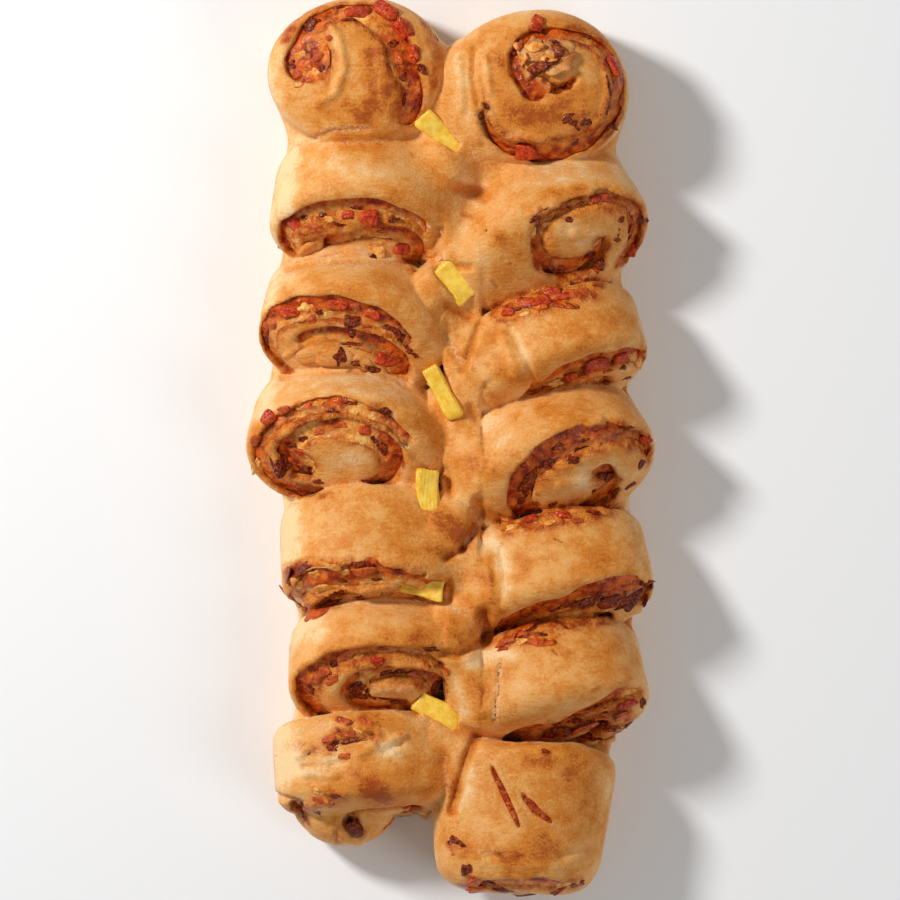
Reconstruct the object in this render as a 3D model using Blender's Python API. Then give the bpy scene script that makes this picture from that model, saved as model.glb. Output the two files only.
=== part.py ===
"""Pull-apart bread: a filled log of dough, cut across into slices that are laid left and right in turn
and baked into one loaf, with pineapple chunks pressed into the valley between the two columns.

Frame: +Z up from the tray, +Y along the loaf towards its face-up end, +X to the right-hand column.
The origin is the middle of the base. The tables are in millimetres and degrees.
"""

import math
from dataclasses import dataclass

import bmesh
import bpy
import numpy as np
from mathutils import Matrix, Vector

MM = 0.001

# Dough envelope of a slice: a squared-off ellipsoid, like a short fat log end
RIM_POWER = 5.0  # across the coil; 2 is an ellipsoid, larger is boxier
AXIS_POWER = 6.5  # along the coil's axis
ENVELOPE_SIDES = 16
ENVELOPE_LATITUDES = (-42, -4, 22, 46, 68)  # degrees, rings from the back pole to the front pole
FACE_EDGE = 0.97  # share of the way to the rim beyond which the cut face is taken as level
LUMP_TWO, LUMP_THREE = 0.012, 0.012  # share by which the outline swells twice and three times a turn
LOBE_SIDES = 9
LOBE_LATITUDES = (-40, 5, 45)
LOBE_POWER = 2.6

# Slot that the filling lies in
KNOT_STEP = 45  # degrees between the values that shape a coil
STATION_GAP = 0.42  # knots between stations where the filling runs at the rim, more further in
STATION_MOST = 1.0
TANGENT_STEP = 0.05  # knots to either side from which the filling's direction is taken
SLOT_LEAST = 3.6  # narrowest slot
SLOT_MOUTH = 2.2  # how far each dough edge is rounded back at the cut face
SLOT_SHOULDER = 3.0  # depth at which the rounding ends
SLOT_OVER = 1.2  # how far the cutter stands proud of the cut face
SLOT_DEPTH_SHARE = 0.6  # the slot's floor lies this share of the half thickness behind the middle

# Filling: sauce, cheese and ham dice, clear of the dough all round
CLEARANCE = 0.45
FLOOR_CLEARANCE = 4.0  # more, because the slot narrows to its floor
END_INSET = 0.15  # share of the first step by which the filling stays clear of its slot's end
FILLING_SINK = 2.2  # how far its top lies below the dough's cut face
FILLING_SWELL = 0.9  # unevenness of that top
HAM_PROUD = 1.8  # how far a die stands out of the filling
HAM_DEPTH = 2.0
HAM_SHARE = 0.6  # half width of a die's foot over that of the filling
HAM_MOST = 2.2  # half the width of the largest die's foot
HAM_FLARE = 0.9  # how much further a die reaches sideways at its top than at its foot
HAM_TURN = 0.2  # radians

# Trims where a later slice, or the crust of the base, lies over a slot or a filling
SLOT_TRIM, FILLING_TRIM = 0.3, 0.9
BASE_SKIN = 5.0
COVERING_SLICES = 3  # a slice is overlapped by no more than this many that follow it

# Dough bed that joins the slices along the base and fills the valley between the columns
BED_LENGTH = 336.0
BED_MIDDLE = 0.0
BED_STATIONS = 10
BED_INSET = 7.0  # how far it stays inside the outer ends of the slices
BED_END = 0.7  # share of its width and height that is left at its ends
VALLEY = (2.0, 4.0)  # x of the valley halfway along, and how far it sways to either side
VALLEY_HALF_WIDTH = 14.0
VALLEY_HEIGHT, VALLEY_SHOULDER = 40.0, 35.0
BED_SHOULDER, BED_SHOULDER_INSET = 25.0, 9.0
BED_SIDE = 14.0  # height of its upright sides

PIT_SIDES = 10
PIT_STEP = 0.1  # keeps a pit's levels off those of the slot that runs into it
POOL_CROWN = 0.5

# Pineapple chunks
PINEAPPLE_SIDES = 8
PINEAPPLE_POWER = 0.55  # 1 is round, smaller is squarer
PINEAPPLE_STATIONS = ((-1, 0.78), (-0.86, 1), (0, 1), (0.86, 1), (1, 0.74))  # place along, and size there
POCKET_GAP = 0.4

SHARP_ANGLE = 40  # degrees


@dataclass
class Slice:
    """One slice of the log. Its cut face looks along -Y at tilt 0 and straight up at tilt 90."""

    name: str
    centre: tuple  # x, y, z
    half: tuple  # half width, half height across the coil, half thickness along its axis
    yaw: float  # turn of the long axis about +Z
    tilt: float
    eye: tuple  # where the coil's middle sits, as shares of the half width and height
    start: float  # angle at which the filling comes in at the rim, anticlockwise on the cut face
    reach: tuple  # the filling's distance from the eye every KNOT_STEP, 1 at the rim
    width: tuple  # the filling's width there
    dome: float = 3.0  # how far the middle stands out of the cut face
    flare: float = 0.0  # share by which the cut face is wider than the middle
    ham: tuple = ()  # angles at which a ham die sits in the filling
    pit: float = 0  # radius of the pool of filling that the coil ends in


@dataclass
class Lobe:
    """A knuckle or tongue of dough that bulges out beside a slice."""

    owner: str  # the slice that it belongs to
    centre: tuple
    half: tuple
    yaw: float


@dataclass
class Chunk:
    """One pineapple chunk, a tapering wedge of a ring."""

    name: str
    centre: tuple
    size: tuple  # length, width, height
    yaw: float
    pitch: float
    taper: float  # width of the narrow end over the wide one


SLICES = (
    Slice("left_1", (-41.4, 165.0, 23), (39.5, 33, 25), 0, 92, (-0.50, 0.15), -45,
          (0.88, 0.70, 0.70, 0.77, 0.52, 0.12), (6, 8, 9, 6, 4, 6), 5, 0, (-20, 10, 40, 75), 9),
    Slice("right_1", (37.8, 158.8, 23), (41, 34, 25), 0, 90, (0.05, 0.10), -170,
          (0.60, 0.80, 0.88, 0.90, 0.87, 0.76, 0.54, 0.30, 0.17, 0.14),
          (-4, 3, 7, 5, 6, 3, 8, 8, 7, 6), 8, 0, (-110, -20, 90), 5),
    Slice("left_2", (-37.4, 109.1, 26), (41.5, 31, 23.5), -2, 42, (-0.05, -0.20), 20,
          (0.70, 0.71, 0.72, 0.80, 0.85, 0.84, 0.74, 0.62, 0.50, 0.34, 0.27, 0.30, 0.36),
          (2, 6, 7, 5, 4, 4, 5, 6, 7, 5, 4, 4, 3), 2, 0.04, (75, 100, 130, 370)),
    Slice("right_2", (41.4, 96.8, 25), (42.5, 31, 22), 26, 50, (0.35, -0.05), -45,
          (0.88, 0.92, 0.84, 0.74, 0.50, 0.36, 0.31, 0.26, 0.24, 0.20),
          (8, 6, 4, 3, 5, 7, 8, 6, 4, 3), 3, 0.04, (-20, 20, 150)),
    Slice("left_3", (-42.2, 57.2, 26), (42, 31, 21), -8, 50, (-0.10, -0.20), 30,
          (0.70, 0.70, 0.77, 0.86, 0.90, 0.88, 0.78, 0.60, 0.44, 0.36, 0.40, 0.48),
          (3, 8, 8, 5, 4, 4, 5, 7, 7, 5, 4, 3), 2, 0.04, (60, 95, 150, 370)),
    Slice("right_3", (44.0, 42.2, 25), (42.5, 30, 19), 18, 28, (0.10, -0.10), 0,
          (0.86, 0.68, 0.50, 0.44, 0.50, 0.60, 0.60, 0.50, 0.35),
          (4, 8, 7, 5, 5, 5, 5, 4, 3), 2, 0, (30, 60)),
    Slice("left_4", (-45.8, 7.0, 26), (42.5, 31, 21), -3, 56, (-0.28, -0.02), 30,
          (0.78, 0.82, 0.83, 0.84, 0.83, 0.68, 0.60, 0.60, 0.60, 0.58, 0.54, 0.46, 0.32),
          (2, 4, 5, 5, 6, 7, 4, 8, 8, 7, 7, 8, 7), 4, 0.04, (110, 425, 530), 5),
    Slice("right_4", (44.0, -3.5, 25), (44, 31, 21), 24, 46, (0.35, -0.06), -15,
          (0.92, 0.83, 0.75, 0.70, 0.62, 0.60, 0.56, 0.38, 0.17, 0.14),
          (3, 6, 10, 11, 9, 8, 6, 5, 4, 3), 4, 0.04, (60, 100, 160), 3.5),
    Slice("left_5", (-33.0, -45.5, 26), (43, 31, 24.5), 2, 22, (-0.20, -0.10), 30,
          (0.70, 0.82, 0.82, 0.85, 0.85, 0.80, 0.70, 0.60, 0.50, 0.45, 0.46, 0.46),
          (2, 4, 12, 8, 4, 4, 4, 4, 4, 4, 6, 5), 2, 0, (140, 170)),
    Slice("right_5", (44.4, -56.3, 25), (43.5, 31, 22), 13, 26, (0.10, -0.10), 0,
          (0.88, 0.72, 0.54, 0.58, 0.62, 0.62, 0.60, 0.50, 0.35),
          (6, 10, 10, 10, 8, 6, 5, 4, 3), 2, 0, (40, 75)),
    Slice("left_6", (-30.8, -92.0, 26), (42, 31, 21), 6, 46, (0.10, -0.10), 30,
          (0.72, 0.80, 0.84, 0.84, 0.82, 0.75, 0.65, 0.55, 0.50, 0.49, 0.48, 0.42, 0.30, 0.25),
          (2, 3, 6, 8, 6, 5, 5, 7, 8, 6, 7, 7, 6, 5), 3, 0.04, (110, 150)),
    Slice("right_6", (43.1, -104.0, 25), (43, 31, 22), 13, 26, (0.10, -0.10), 20,
          (0.95, 0.42, 0.32, 0.50, 0.58, 0.56, 0.50, 0.42, 0.30),
          (8, 10, 9, 7, 7, 6, 5, 4, 3), 2, 0, (25, 60)),
    Slice("left_7", (-37.4, -138.6, 26), (40.5, 31, 20.5), 3, 12, (-0.10, -0.10), 150,
          (0.80, 0.72, 0.60, 0.52, 0.55, 0.56, 0.42, 0.25, 0.12),
          (4, 4, 3, 3, 4, 3, 2, 2, 2), 3, 0, (170, 15)),
    Slice("right_7", (30.8, -161.8, 26), (39, 31, 33), -4, 5, (0, -0.10), 30,
          (0.68, 0.68, 0.66, 0.64, 0.60, 0.54, 0.46, 0.38, 0.30),
          (5, 6, 6, 6, 5, 5, 5, 5, 4), 2, -0.10, (60, 110)),
)

LOBES = (
    Lobe("right_1", (8, 152, 20), (14, 26, 24), 15),
    Lobe("left_2", (-4, 121, 22), (14, 17, 25), -15),
    Lobe("right_2", (7, 89, 22), (14, 19, 25), 25),
    Lobe("left_3", (-9, 68, 22), (12, 17, 26), -20),
    Lobe("right_3", (12, 36, 24), (12, 17, 24), 15),
    Lobe("right_4", (13, -9, 24), (14, 20, 25), 20),
    Lobe("left_5", (0, -35, 23), (14, 17, 27), 0),
    Lobe("right_5", (12, -54, 24), (11, 18, 26), 10),
    Lobe("left_6", (0, -80, 23), (14, 16, 27), 0),
    Lobe("right_6", (10, -105, 24), (11, 18, 26), 10),
    Lobe("left_7", (-4, -128, 22), (14, 14, 25), 0),
    Lobe("left_7", (-46, -158, 15), (23, 17.5, 18), 0),
)

CHUNKS = (
    Chunk("pineapple_1", (-5, 139, 38), (23, 10, 8), -42, 8, 0.6),
    Chunk("pineapple_2", (1.5, 73, 39), (20, 11, 8), -50, 6, 0.9),
    Chunk("pineapple_3", (-4, 25, 39), (26, 9, 8), -62, 4, 0.8),
    Chunk("pineapple_4", (-10, -18, 42), (18.5, 10, 8), -92, 4, 0.9),
    Chunk("pineapple_5", (-13, -61, 42), (21, 11, 8), 172, 6, 0.5),
    Chunk("pineapple_6", (-6, -115, 38), (22, 10, 8), -30, 4, 0.9),
)


def clear_scene():
    for obj in list(bpy.data.objects):
        bpy.data.objects.remove(obj)


def material(name, colour, roughness):
    found = bpy.data.materials.new(name)
    found.use_nodes = True
    shader = found.node_tree.nodes["Principled BSDF"]
    shader.inputs["Base Color"].default_value = (*colour, 1)
    shader.inputs["Roughness"].default_value = roughness
    shader.inputs["Metallic"].default_value = 0
    return found


def placed(piece):
    """Matrix from a slice's own axes (long axis, up the cut face, out of the cut face) to the loaf."""
    yaw, tilt = math.radians(piece.yaw), math.radians(piece.tilt)
    along = Vector((1, 0, 0))
    up_face = Vector((0, math.sin(tilt), math.cos(tilt)))
    out = along.cross(up_face)
    turn = Matrix((along, up_face, out)).transposed()
    return Matrix.Translation(Vector(piece.centre)) @ (Matrix.Rotation(yaw, 3, "Z") @ turn).to_4x4()


def mesh_object(name, rings, close_ends, matrix, split=False):
    """An object lofted through rings of points in millimetres. A ring of one point is a pole.

    Split walls are cut into triangles the same way everywhere, so that a filling follows its twisted slot.
    """
    bm = bmesh.new()
    loops = [[bm.verts.new(matrix @ Vector(point) * MM) for point in ring] for ring in rings]
    for low, high in zip(loops, loops[1:]):
        count = max(len(low), len(high))
        for k in range(count):
            near, far = low[k % len(low)], high[(k + 1) % len(high)]
            low_next, high_next = low[(k + 1) % len(low)], high[k % len(high)]
            if split:
                bm.faces.new((near, low_next, far))
                bm.faces.new((near, far, high_next))
            else:
                bm.faces.new(dict.fromkeys((near, low_next, far, high_next)))
    if close_ends:
        bm.faces.new(loops[0])
        bm.faces.new(loops[-1])
    bmesh.ops.recalc_face_normals(bm, faces=bm.faces)
    mesh = bpy.data.meshes.new(name)
    bm.to_mesh(mesh)
    bm.free()
    obj = bpy.data.objects.new(name, mesh)
    bpy.context.scene.collection.objects.link(obj)
    return obj


def squared(value, power):
    """A sine or cosine made boxier by a power under 1."""
    return math.copysign(abs(value) ** power, value)


def smooth_value(values, place):
    """Catmull-Rom value at a place counted in knots from the first."""
    first = min(int(place), len(values) - 2)
    part = place - first
    before, start, end = values[max(first - 1, 0)], values[first], values[first + 1]
    after = values[min(first + 2, len(values) - 1)]
    bend = 2 * before - 5 * start + 4 * end - after + part * (3 * (start - end) + after - before)
    return start + part / 2 * (end - before + part * bend)


def lumps(piece, angle):
    """Uneven outline of a slice: a factor near 1."""
    phase = piece.centre[1] + piece.centre[0]
    return 1 + LUMP_TWO * math.cos(2 * angle + phase) + LUMP_THREE * math.cos(3 * angle - 2 * phase)


def face_height(piece, rho):
    """Height of the cut face over the slice's middle, at a share rho of the way to its rim."""
    rho = min(rho, FACE_EDGE)
    round_edge = (1 - rho**RIM_POWER) ** (1 / AXIS_POWER)
    return piece.half[2] * round_edge + piece.dome * (1 - rho * rho)


def envelope(piece, grow, name):
    """The whole slice as if it had no filling, grown by some millimetres."""
    a, b, t = (size + grow for size in piece.half)
    rings = [[(0, 0, -t)]]
    for latitude in map(math.radians, ENVELOPE_LATITUDES):
        rho = math.cos(latitude) ** (2 / RIM_POWER)
        share = squared(math.sin(latitude), 2 / AXIS_POWER)
        height = t * share + (piece.dome * (1 - rho * rho) if latitude > 0 else 0)
        ring = []
        for k in range(ENVELOPE_SIDES):
            angle = 2 * math.pi * k / ENVELOPE_SIDES
            radius = rho * lumps(piece, angle) * (1 + piece.flare * share)
            ring.append((a * radius * math.cos(angle), b * radius * math.sin(angle), height))
        rings.append(ring)
    rings.append([(0, 0, t + piece.dome)])
    return mesh_object(name, rings, False, placed(piece))


def lobe(shape, grow, name):
    """A knuckle or tongue as an upright squared-off ellipsoid."""
    a, b, c = (size + grow for size in shape.half)
    rings = [[(0, 0, -c)]]
    for latitude in map(math.radians, LOBE_LATITUDES):
        rho = math.cos(latitude) ** (2 / LOBE_POWER)
        height = c * squared(math.sin(latitude), 2 / LOBE_POWER)
        angles = [2 * math.pi * k / LOBE_SIDES for k in range(LOBE_SIDES)]
        rings.append([(a * rho * math.cos(angle), b * rho * math.sin(angle), height) for angle in angles])
    rings.append([(0, 0, c)])
    turn = Matrix.Rotation(math.radians(shape.yaw), 4, "Z")
    return mesh_object(name, rings, False, Matrix.Translation(Vector(shape.centre)) @ turn)


def coil_point(piece, place):
    """Middle of the filling on the cut face, at a place counted in knots from its start."""
    angle = math.radians(piece.start + KNOT_STEP * place)
    reach = smooth_value(piece.reach, place)
    a, b, _ = piece.half
    u = a * ((1 - reach) * piece.eye[0] + reach * math.cos(angle))
    v = b * ((1 - reach) * piece.eye[1] + reach * math.sin(angle))
    return Vector((u, v))


def coil_places(piece):
    """Where the stations along the filling are, in knots from its start."""
    last = len(piece.reach) - 1
    places = [0.0]
    while places[-1] < last:
        step = min(STATION_GAP / smooth_value(piece.reach, places[-1]), STATION_MOST)
        places.append(places[-1] + step)
    return [place * last / places[-1] for place in places]


def coil_stations(piece):
    """Stations along the filling: its angle, middle, sideways direction, cut face height and half width."""
    last = len(piece.reach) - 1
    stations = []
    for place in coil_places(piece):
        ahead = coil_point(piece, min(place + TANGENT_STEP, last))
        behind = coil_point(piece, max(place - TANGENT_STEP, 0))
        middle = coil_point(piece, place)
        sideways = Vector((ahead.y - behind.y, behind.x - ahead.x)).normalized()
        rho = math.hypot(middle.x / piece.half[0], middle.y / piece.half[1])
        width = max(SLOT_LEAST, smooth_value(piece.width, place))
        angle = piece.start + KNOT_STEP * place
        stations.append((angle, middle, sideways, face_height(piece, rho), width / 2))
    return stations


def disc(name, middle, radii, heights, matrix):
    """A round pool or its cutter, one ring for each radius and height."""
    angles = [2 * math.pi * k / PIT_SIDES for k in range(PIT_SIDES)]
    rings = []
    for radius, n in zip(radii, heights):
        points = (middle + radius * Vector((math.cos(angle), math.sin(angle))) for angle in angles)
        rings.append([(*point, n) for point in points])
    return mesh_object(name, rings, True, matrix)


def slot(piece):
    """Cutter for the slot between two layers of dough, with its mouth rounded back."""
    floor = -SLOT_DEPTH_SHARE * piece.half[2]
    rings = []
    for _, middle, sideways, top, half in coil_stations(piece):
        mouth, rim = half + SLOT_MOUTH, top + SLOT_OVER
        shoulder = top - SLOT_SHOULDER
        section = ((0, floor), (half, shoulder), (mouth, rim), (-mouth, rim), (-half, shoulder))
        rings.append([(*(middle + sideways * s), n) for s, n in section])
    cutter = mesh_object("slot_" + piece.name, rings, True, placed(piece), split=True)
    if piece.pit:
        radii = (piece.pit, piece.pit, piece.pit + SLOT_MOUTH)
        heights = (floor - PIT_STEP, top - SLOT_SHOULDER + PIT_STEP, top + 2 * SLOT_OVER)
        combine(cutter, [disc("pit", middle, radii, heights, placed(piece))], "UNION")
    return cutter


def drawn_in(stations):
    """The stations with the first and the last moved a little way towards their neighbours."""
    ends = (stations[0], stations[1]), (stations[-1], stations[-2])
    first, last = ([a + END_INSET * (b - a) for a, b in zip(end, near)] for end, near in ends)
    return [first, *stations[1:-1], last]


def filling(piece):
    """Sauce and cheese between two layers of dough, its top swelling unevenly."""
    floor = -SLOT_DEPTH_SHARE * piece.half[2] + FLOOR_CLEARANCE
    rings = []
    for angle, middle, sideways, top, slot_half in drawn_in(coil_stations(piece)):
        half = slot_half - CLEARANCE
        crown = top - FILLING_SINK + FILLING_SWELL * math.sin(math.radians(5 * angle) + piece.centre[1])
        edge = top - SLOT_SHOULDER - CLEARANCE
        section = ((0, floor), (half, edge), (0, crown), (-half, edge))
        rings.append([(*(middle + sideways * s), n) for s, n in section])
    body = mesh_object("filling_" + piece.name, rings, True, placed(piece), split=True)
    pieces = ham_dice(piece)
    if piece.pit:
        _, middle, _, top, _ = coil_stations(piece)[-1]
        radius = piece.pit - CLEARANCE
        heights = (floor + PIT_STEP, top - SLOT_SHOULDER - CLEARANCE, top - FILLING_SINK)
        pieces.append(disc("pool", middle, (radius, radius, POOL_CROWN * radius), heights, placed(piece)))
    combine(body, pieces, "UNION")
    return body


def ham_dice(piece):
    """Dice that a union joins to the filling, each wider at its top than at its foot."""
    stations = coil_stations(piece)[1:-1]
    dice = []
    for number, wanted in enumerate(piece.ham):
        _, middle, sideways, top, slot_half = min(stations, key=lambda s: abs(s[0] - wanted))
        along = Vector((-sideways.y, sideways.x))
        side = sideways * math.cos(HAM_TURN) + along * math.sin(HAM_TURN)
        across = Vector((-side.y, side.x))
        foot = min(HAM_SHARE * (slot_half - CLEARANCE), HAM_MOST)
        crown = top - FILLING_SINK
        rings = []
        for half, n in ((foot, crown - HAM_DEPTH), (foot + HAM_FLARE, crown + HAM_PROUD)):
            corners = ((-1, -1), (1, -1), (1, 1), (-1, 1))
            rings.append([(*(middle + half * (i * side + j * across)), n) for i, j in corners])
        dice.append(mesh_object(f"ham_{piece.name}_{number}", rings, True, placed(piece)))
    return dice


def column_edge(side, y):
    """How far out the slices of one column reach, at a place along the loaf. Side is -1 or 1."""
    column = [piece for piece in reversed(SLICES) if piece.centre[0] * side > 0]
    middles = [piece.centre[1] for piece in column]
    ends = [piece.centre[0] + side * piece.half[0] * math.cos(math.radians(piece.yaw)) for piece in column]
    return np.interp(y, middles, ends)


def bed():
    """Dough that joins all slices along the base and fills the valley."""
    rings = []
    for k in range(BED_STATIONS + 1):
        share = 2 * k / BED_STATIONS - 1
        y = BED_MIDDLE - share * BED_LENGTH / 2
        valley = VALLEY[0] + VALLEY[1] * share
        left, right = column_edge(-1, y) + BED_INSET, column_edge(1, y) - BED_INSET
        section = (
            (left, -BED_SIDE), (left, BED_SIDE), (left + BED_SHOULDER_INSET, BED_SHOULDER),
            (valley - VALLEY_HALF_WIDTH, VALLEY_SHOULDER), (valley, VALLEY_HEIGHT),
            (valley + VALLEY_HALF_WIDTH, VALLEY_SHOULDER),
            (right - BED_SHOULDER_INSET, BED_SHOULDER), (right, BED_SIDE), (right, -BED_SIDE),
        )
        swell = BED_END if k in (0, BED_STATIONS) else 1
        rings.append([(valley + swell * (x - valley), y, swell * z) for x, z in section])
    return mesh_object("bed", rings, True, Matrix.Identity(4))


def tray_block(name, top):
    """A block below a level, which trims what lies under it."""
    reach, depth = 400, 60
    rings = [[(x, y, z) for x, y in ((-reach, -reach), (reach, -reach), (reach, reach), (-reach, reach))]
             for z in (-depth, top)]
    return mesh_object(name, rings, True, Matrix.Identity(4))


def pineapple(chunk, grow, name):
    """A chunk as a rounded wedge, wide at its rind end and narrow at its core end."""
    length, width, height = (size / 2 + grow for size in chunk.size)
    rings = []
    for along, shrink in PINEAPPLE_STATIONS:
        taper = (1 + chunk.taper) / 2 - along * (1 - chunk.taper) / 2
        ring = []
        for side in range(PINEAPPLE_SIDES):
            angle = 2 * math.pi * (side + 0.5) / PINEAPPLE_SIDES
            y = squared(math.cos(angle), PINEAPPLE_POWER) * width * taper
            z = squared(math.sin(angle), PINEAPPLE_POWER) * height
            ring.append((along * length, y * shrink, z * shrink))
        rings.append(ring)
    yaw = Matrix.Rotation(math.radians(chunk.yaw), 4, "Z")
    pitch = Matrix.Rotation(math.radians(chunk.pitch), 4, "Y")
    return mesh_object(name, rings, True, Matrix.Translation(Vector(chunk.centre)) @ yaw @ pitch)


def combine(obj, others, operation, solver="EXACT"):
    """Applies one Boolean of a collection of objects to an object, and removes them."""
    group = bpy.data.collections.new("operands")
    bpy.context.scene.collection.children.link(group)
    for other in others:
        group.objects.link(other)
    modifier = obj.modifiers.new(operation.title(), "BOOLEAN")
    modifier.operation = operation
    modifier.operand_type = "COLLECTION"
    modifier.collection = group
    modifier.solver = solver
    if solver == "EXACT":
        modifier.use_self = True
    bpy.context.view_layer.update()
    graph = bpy.context.evaluated_depsgraph_get()
    made = bpy.data.meshes.new_from_object(obj.evaluated_get(graph))
    obj.modifiers.clear()
    obj.data = made
    for other in others:
        bpy.data.objects.remove(other)
    bpy.data.collections.remove(group)


def covers(index, grow):
    """The slices that follow one, and the lobes beside it and them, grown by some millimetres."""
    following = SLICES[index + 1 : index + 1 + COVERING_SLICES]
    owners = {SLICES[index].name} | {piece.name for piece in following}
    slices = [envelope(piece, grow, "cover_" + piece.name) for piece in following]
    return slices + [lobe(shape, grow, "cover_" + shape.owner) for shape in LOBES if shape.owner in owners]


def trim(obj, index, grow, base_top):
    combine(obj, [*covers(index, grow), tray_block("tray", base_top)], "DIFFERENCE")


def drop_scraps(obj):
    """Keeps the largest connected piece of a mesh, and drops what a cut left loose beside it."""
    bm = bmesh.new()
    bm.from_mesh(obj.data)
    unseen = set(bm.verts)
    pieces = []
    while unseen:
        front = [unseen.pop()]
        piece = list(front)
        while front:
            near = {edge.other_vert(vert) for vert in front for edge in vert.link_edges} & unseen
            unseen -= near
            front = list(near)
            piece += front
        pieces.append(piece)
    largest = max(pieces, key=len)
    loose = [vert for piece in pieces if piece is not largest for vert in piece]
    bmesh.ops.delete(bm, geom=loose, context="VERTS")
    bm.to_mesh(obj.data)
    bm.free()


def finish(obj, name, look):
    drop_scraps(obj)
    obj.name = name
    obj.data.materials.clear()
    obj.data.materials.append(look)
    for face in obj.data.polygons:
        face.material_index = 0
    obj.data.shade_smooth()
    obj.data.set_sharp_from_angle(angle=math.radians(SHARP_ANGLE))


def build_dough(look):
    dough = bed()
    bodies = [envelope(piece, 0, "dough_" + piece.name) for piece in SLICES]
    bodies += [lobe(shape, 0, "lobe_" + shape.owner) for shape in LOBES]
    combine(dough, bodies, "UNION")
    slots = []
    for index, piece in enumerate(SLICES):
        cutter = slot(piece)
        trim(cutter, index, SLOT_TRIM, BASE_SKIN)
        slots.append(cutter)
    combine(dough, slots, "DIFFERENCE", "MANIFOLD")
    pockets = [pineapple(chunk, POCKET_GAP, "pocket_" + chunk.name) for chunk in CHUNKS]
    combine(dough, [*pockets, tray_block("tray", 0)], "DIFFERENCE", "MANIFOLD")
    finish(dough, "bread", look)


def build_fillings(look):
    for index, piece in enumerate(SLICES):
        body = filling(piece)
        trim(body, index, FILLING_TRIM, BASE_SKIN + CLEARANCE)
        pockets = [pineapple(chunk, 2 * POCKET_GAP, "pocket_" + chunk.name) for chunk in CHUNKS]
        combine(body, pockets, "DIFFERENCE")
        finish(body, "filling_" + piece.name, look)


def build_pineapple(look):
    for chunk in CHUNKS:
        finish(pineapple(chunk, 0, chunk.name), chunk.name, look)


clear_scene()
build_dough(material("crust", (0.62, 0.35, 0.14), 0.6))
build_fillings(material("filling", (0.35, 0.06, 0.02), 0.35))
build_pineapple(material("pineapple", (0.80, 0.58, 0.08), 0.4))
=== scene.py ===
"""Looks of the pull-apart bread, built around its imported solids.

Each slice is a squared-off ellipsoid of dough with a coil of filling let into its cut face. Fields of
signed distance, in millimetres and negative inside, describe them. The dough is meshed from one blended
field of all slices and then shared out to them, and each filling is meshed from a field of its own. The
tables of slices, lobes and chunks repeat those that the solids were made from.
"""

import math
from dataclasses import dataclass

import bmesh
import bpy
import numpy as np
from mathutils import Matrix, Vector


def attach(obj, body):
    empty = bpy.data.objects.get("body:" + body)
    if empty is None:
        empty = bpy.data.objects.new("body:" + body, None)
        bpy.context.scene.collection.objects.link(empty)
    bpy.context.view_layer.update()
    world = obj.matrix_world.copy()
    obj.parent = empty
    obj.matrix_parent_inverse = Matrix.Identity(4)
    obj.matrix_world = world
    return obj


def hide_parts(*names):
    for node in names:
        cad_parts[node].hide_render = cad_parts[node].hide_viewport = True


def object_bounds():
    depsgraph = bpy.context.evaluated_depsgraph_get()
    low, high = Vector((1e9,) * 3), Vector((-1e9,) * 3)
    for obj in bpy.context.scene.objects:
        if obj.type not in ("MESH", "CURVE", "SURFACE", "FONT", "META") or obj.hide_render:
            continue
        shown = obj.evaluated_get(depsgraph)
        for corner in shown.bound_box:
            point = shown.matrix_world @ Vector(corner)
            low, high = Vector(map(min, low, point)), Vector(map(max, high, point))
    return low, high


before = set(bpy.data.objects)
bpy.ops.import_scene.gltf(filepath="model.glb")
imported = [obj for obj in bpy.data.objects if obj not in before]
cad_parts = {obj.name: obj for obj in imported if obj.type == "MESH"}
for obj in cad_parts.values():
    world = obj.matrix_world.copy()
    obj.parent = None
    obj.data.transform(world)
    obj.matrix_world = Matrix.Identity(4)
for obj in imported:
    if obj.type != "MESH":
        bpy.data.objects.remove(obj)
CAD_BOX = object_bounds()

import openvdb
from mathutils import Matrix, Vector

MM = 0.001  # one millimetre in metres; all sizes below are in millimetres

# Voxels of the fields
DOUGH_STEP = 1.0
PINEAPPLE_STEP = 0.6
COIL_STEP = 0.5

# Slices and lobes
RIM_POWER, AXIS_POWER = 5.0, 6.5  # how squarely a slice's rim turns into its faces
OUTLINE_TWO, OUTLINE_THREE = 0.012, 0.012  # shares by which a slice's outline swells twice and thrice round
LOBE_POWER = 2.6  # how boxy a lobe is; 2 is an ellipsoid
SLOPE_REACH, SLOPE_DEPTH = 9.0, 3.2  # sunk side of the layer inside each groove
RING_LEAST = 3.0  # dough left outside a groove
RING_BLEND = 2.0  # how softly a groove ends there, and runs into a pit

# Pictures of the cut faces
FACE_MARGIN = 1.2  # their size over the slice's own
KNOT_STEP = 45  # degrees between the places at which a coil is given
KNOT_PARTS = 20  # points of the coil from one such place to the next
INWARD_FADE = (-0.3, 0.5)  # from the side towards the rim to the side towards the eye
FACE_EDGE = 0.97  # share of the way to the rim from where a face stays level
RAGGED_SIZE, RAGGED_DEPTH = 5.0, 0.8  # unevenness of a groove's edges

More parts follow.
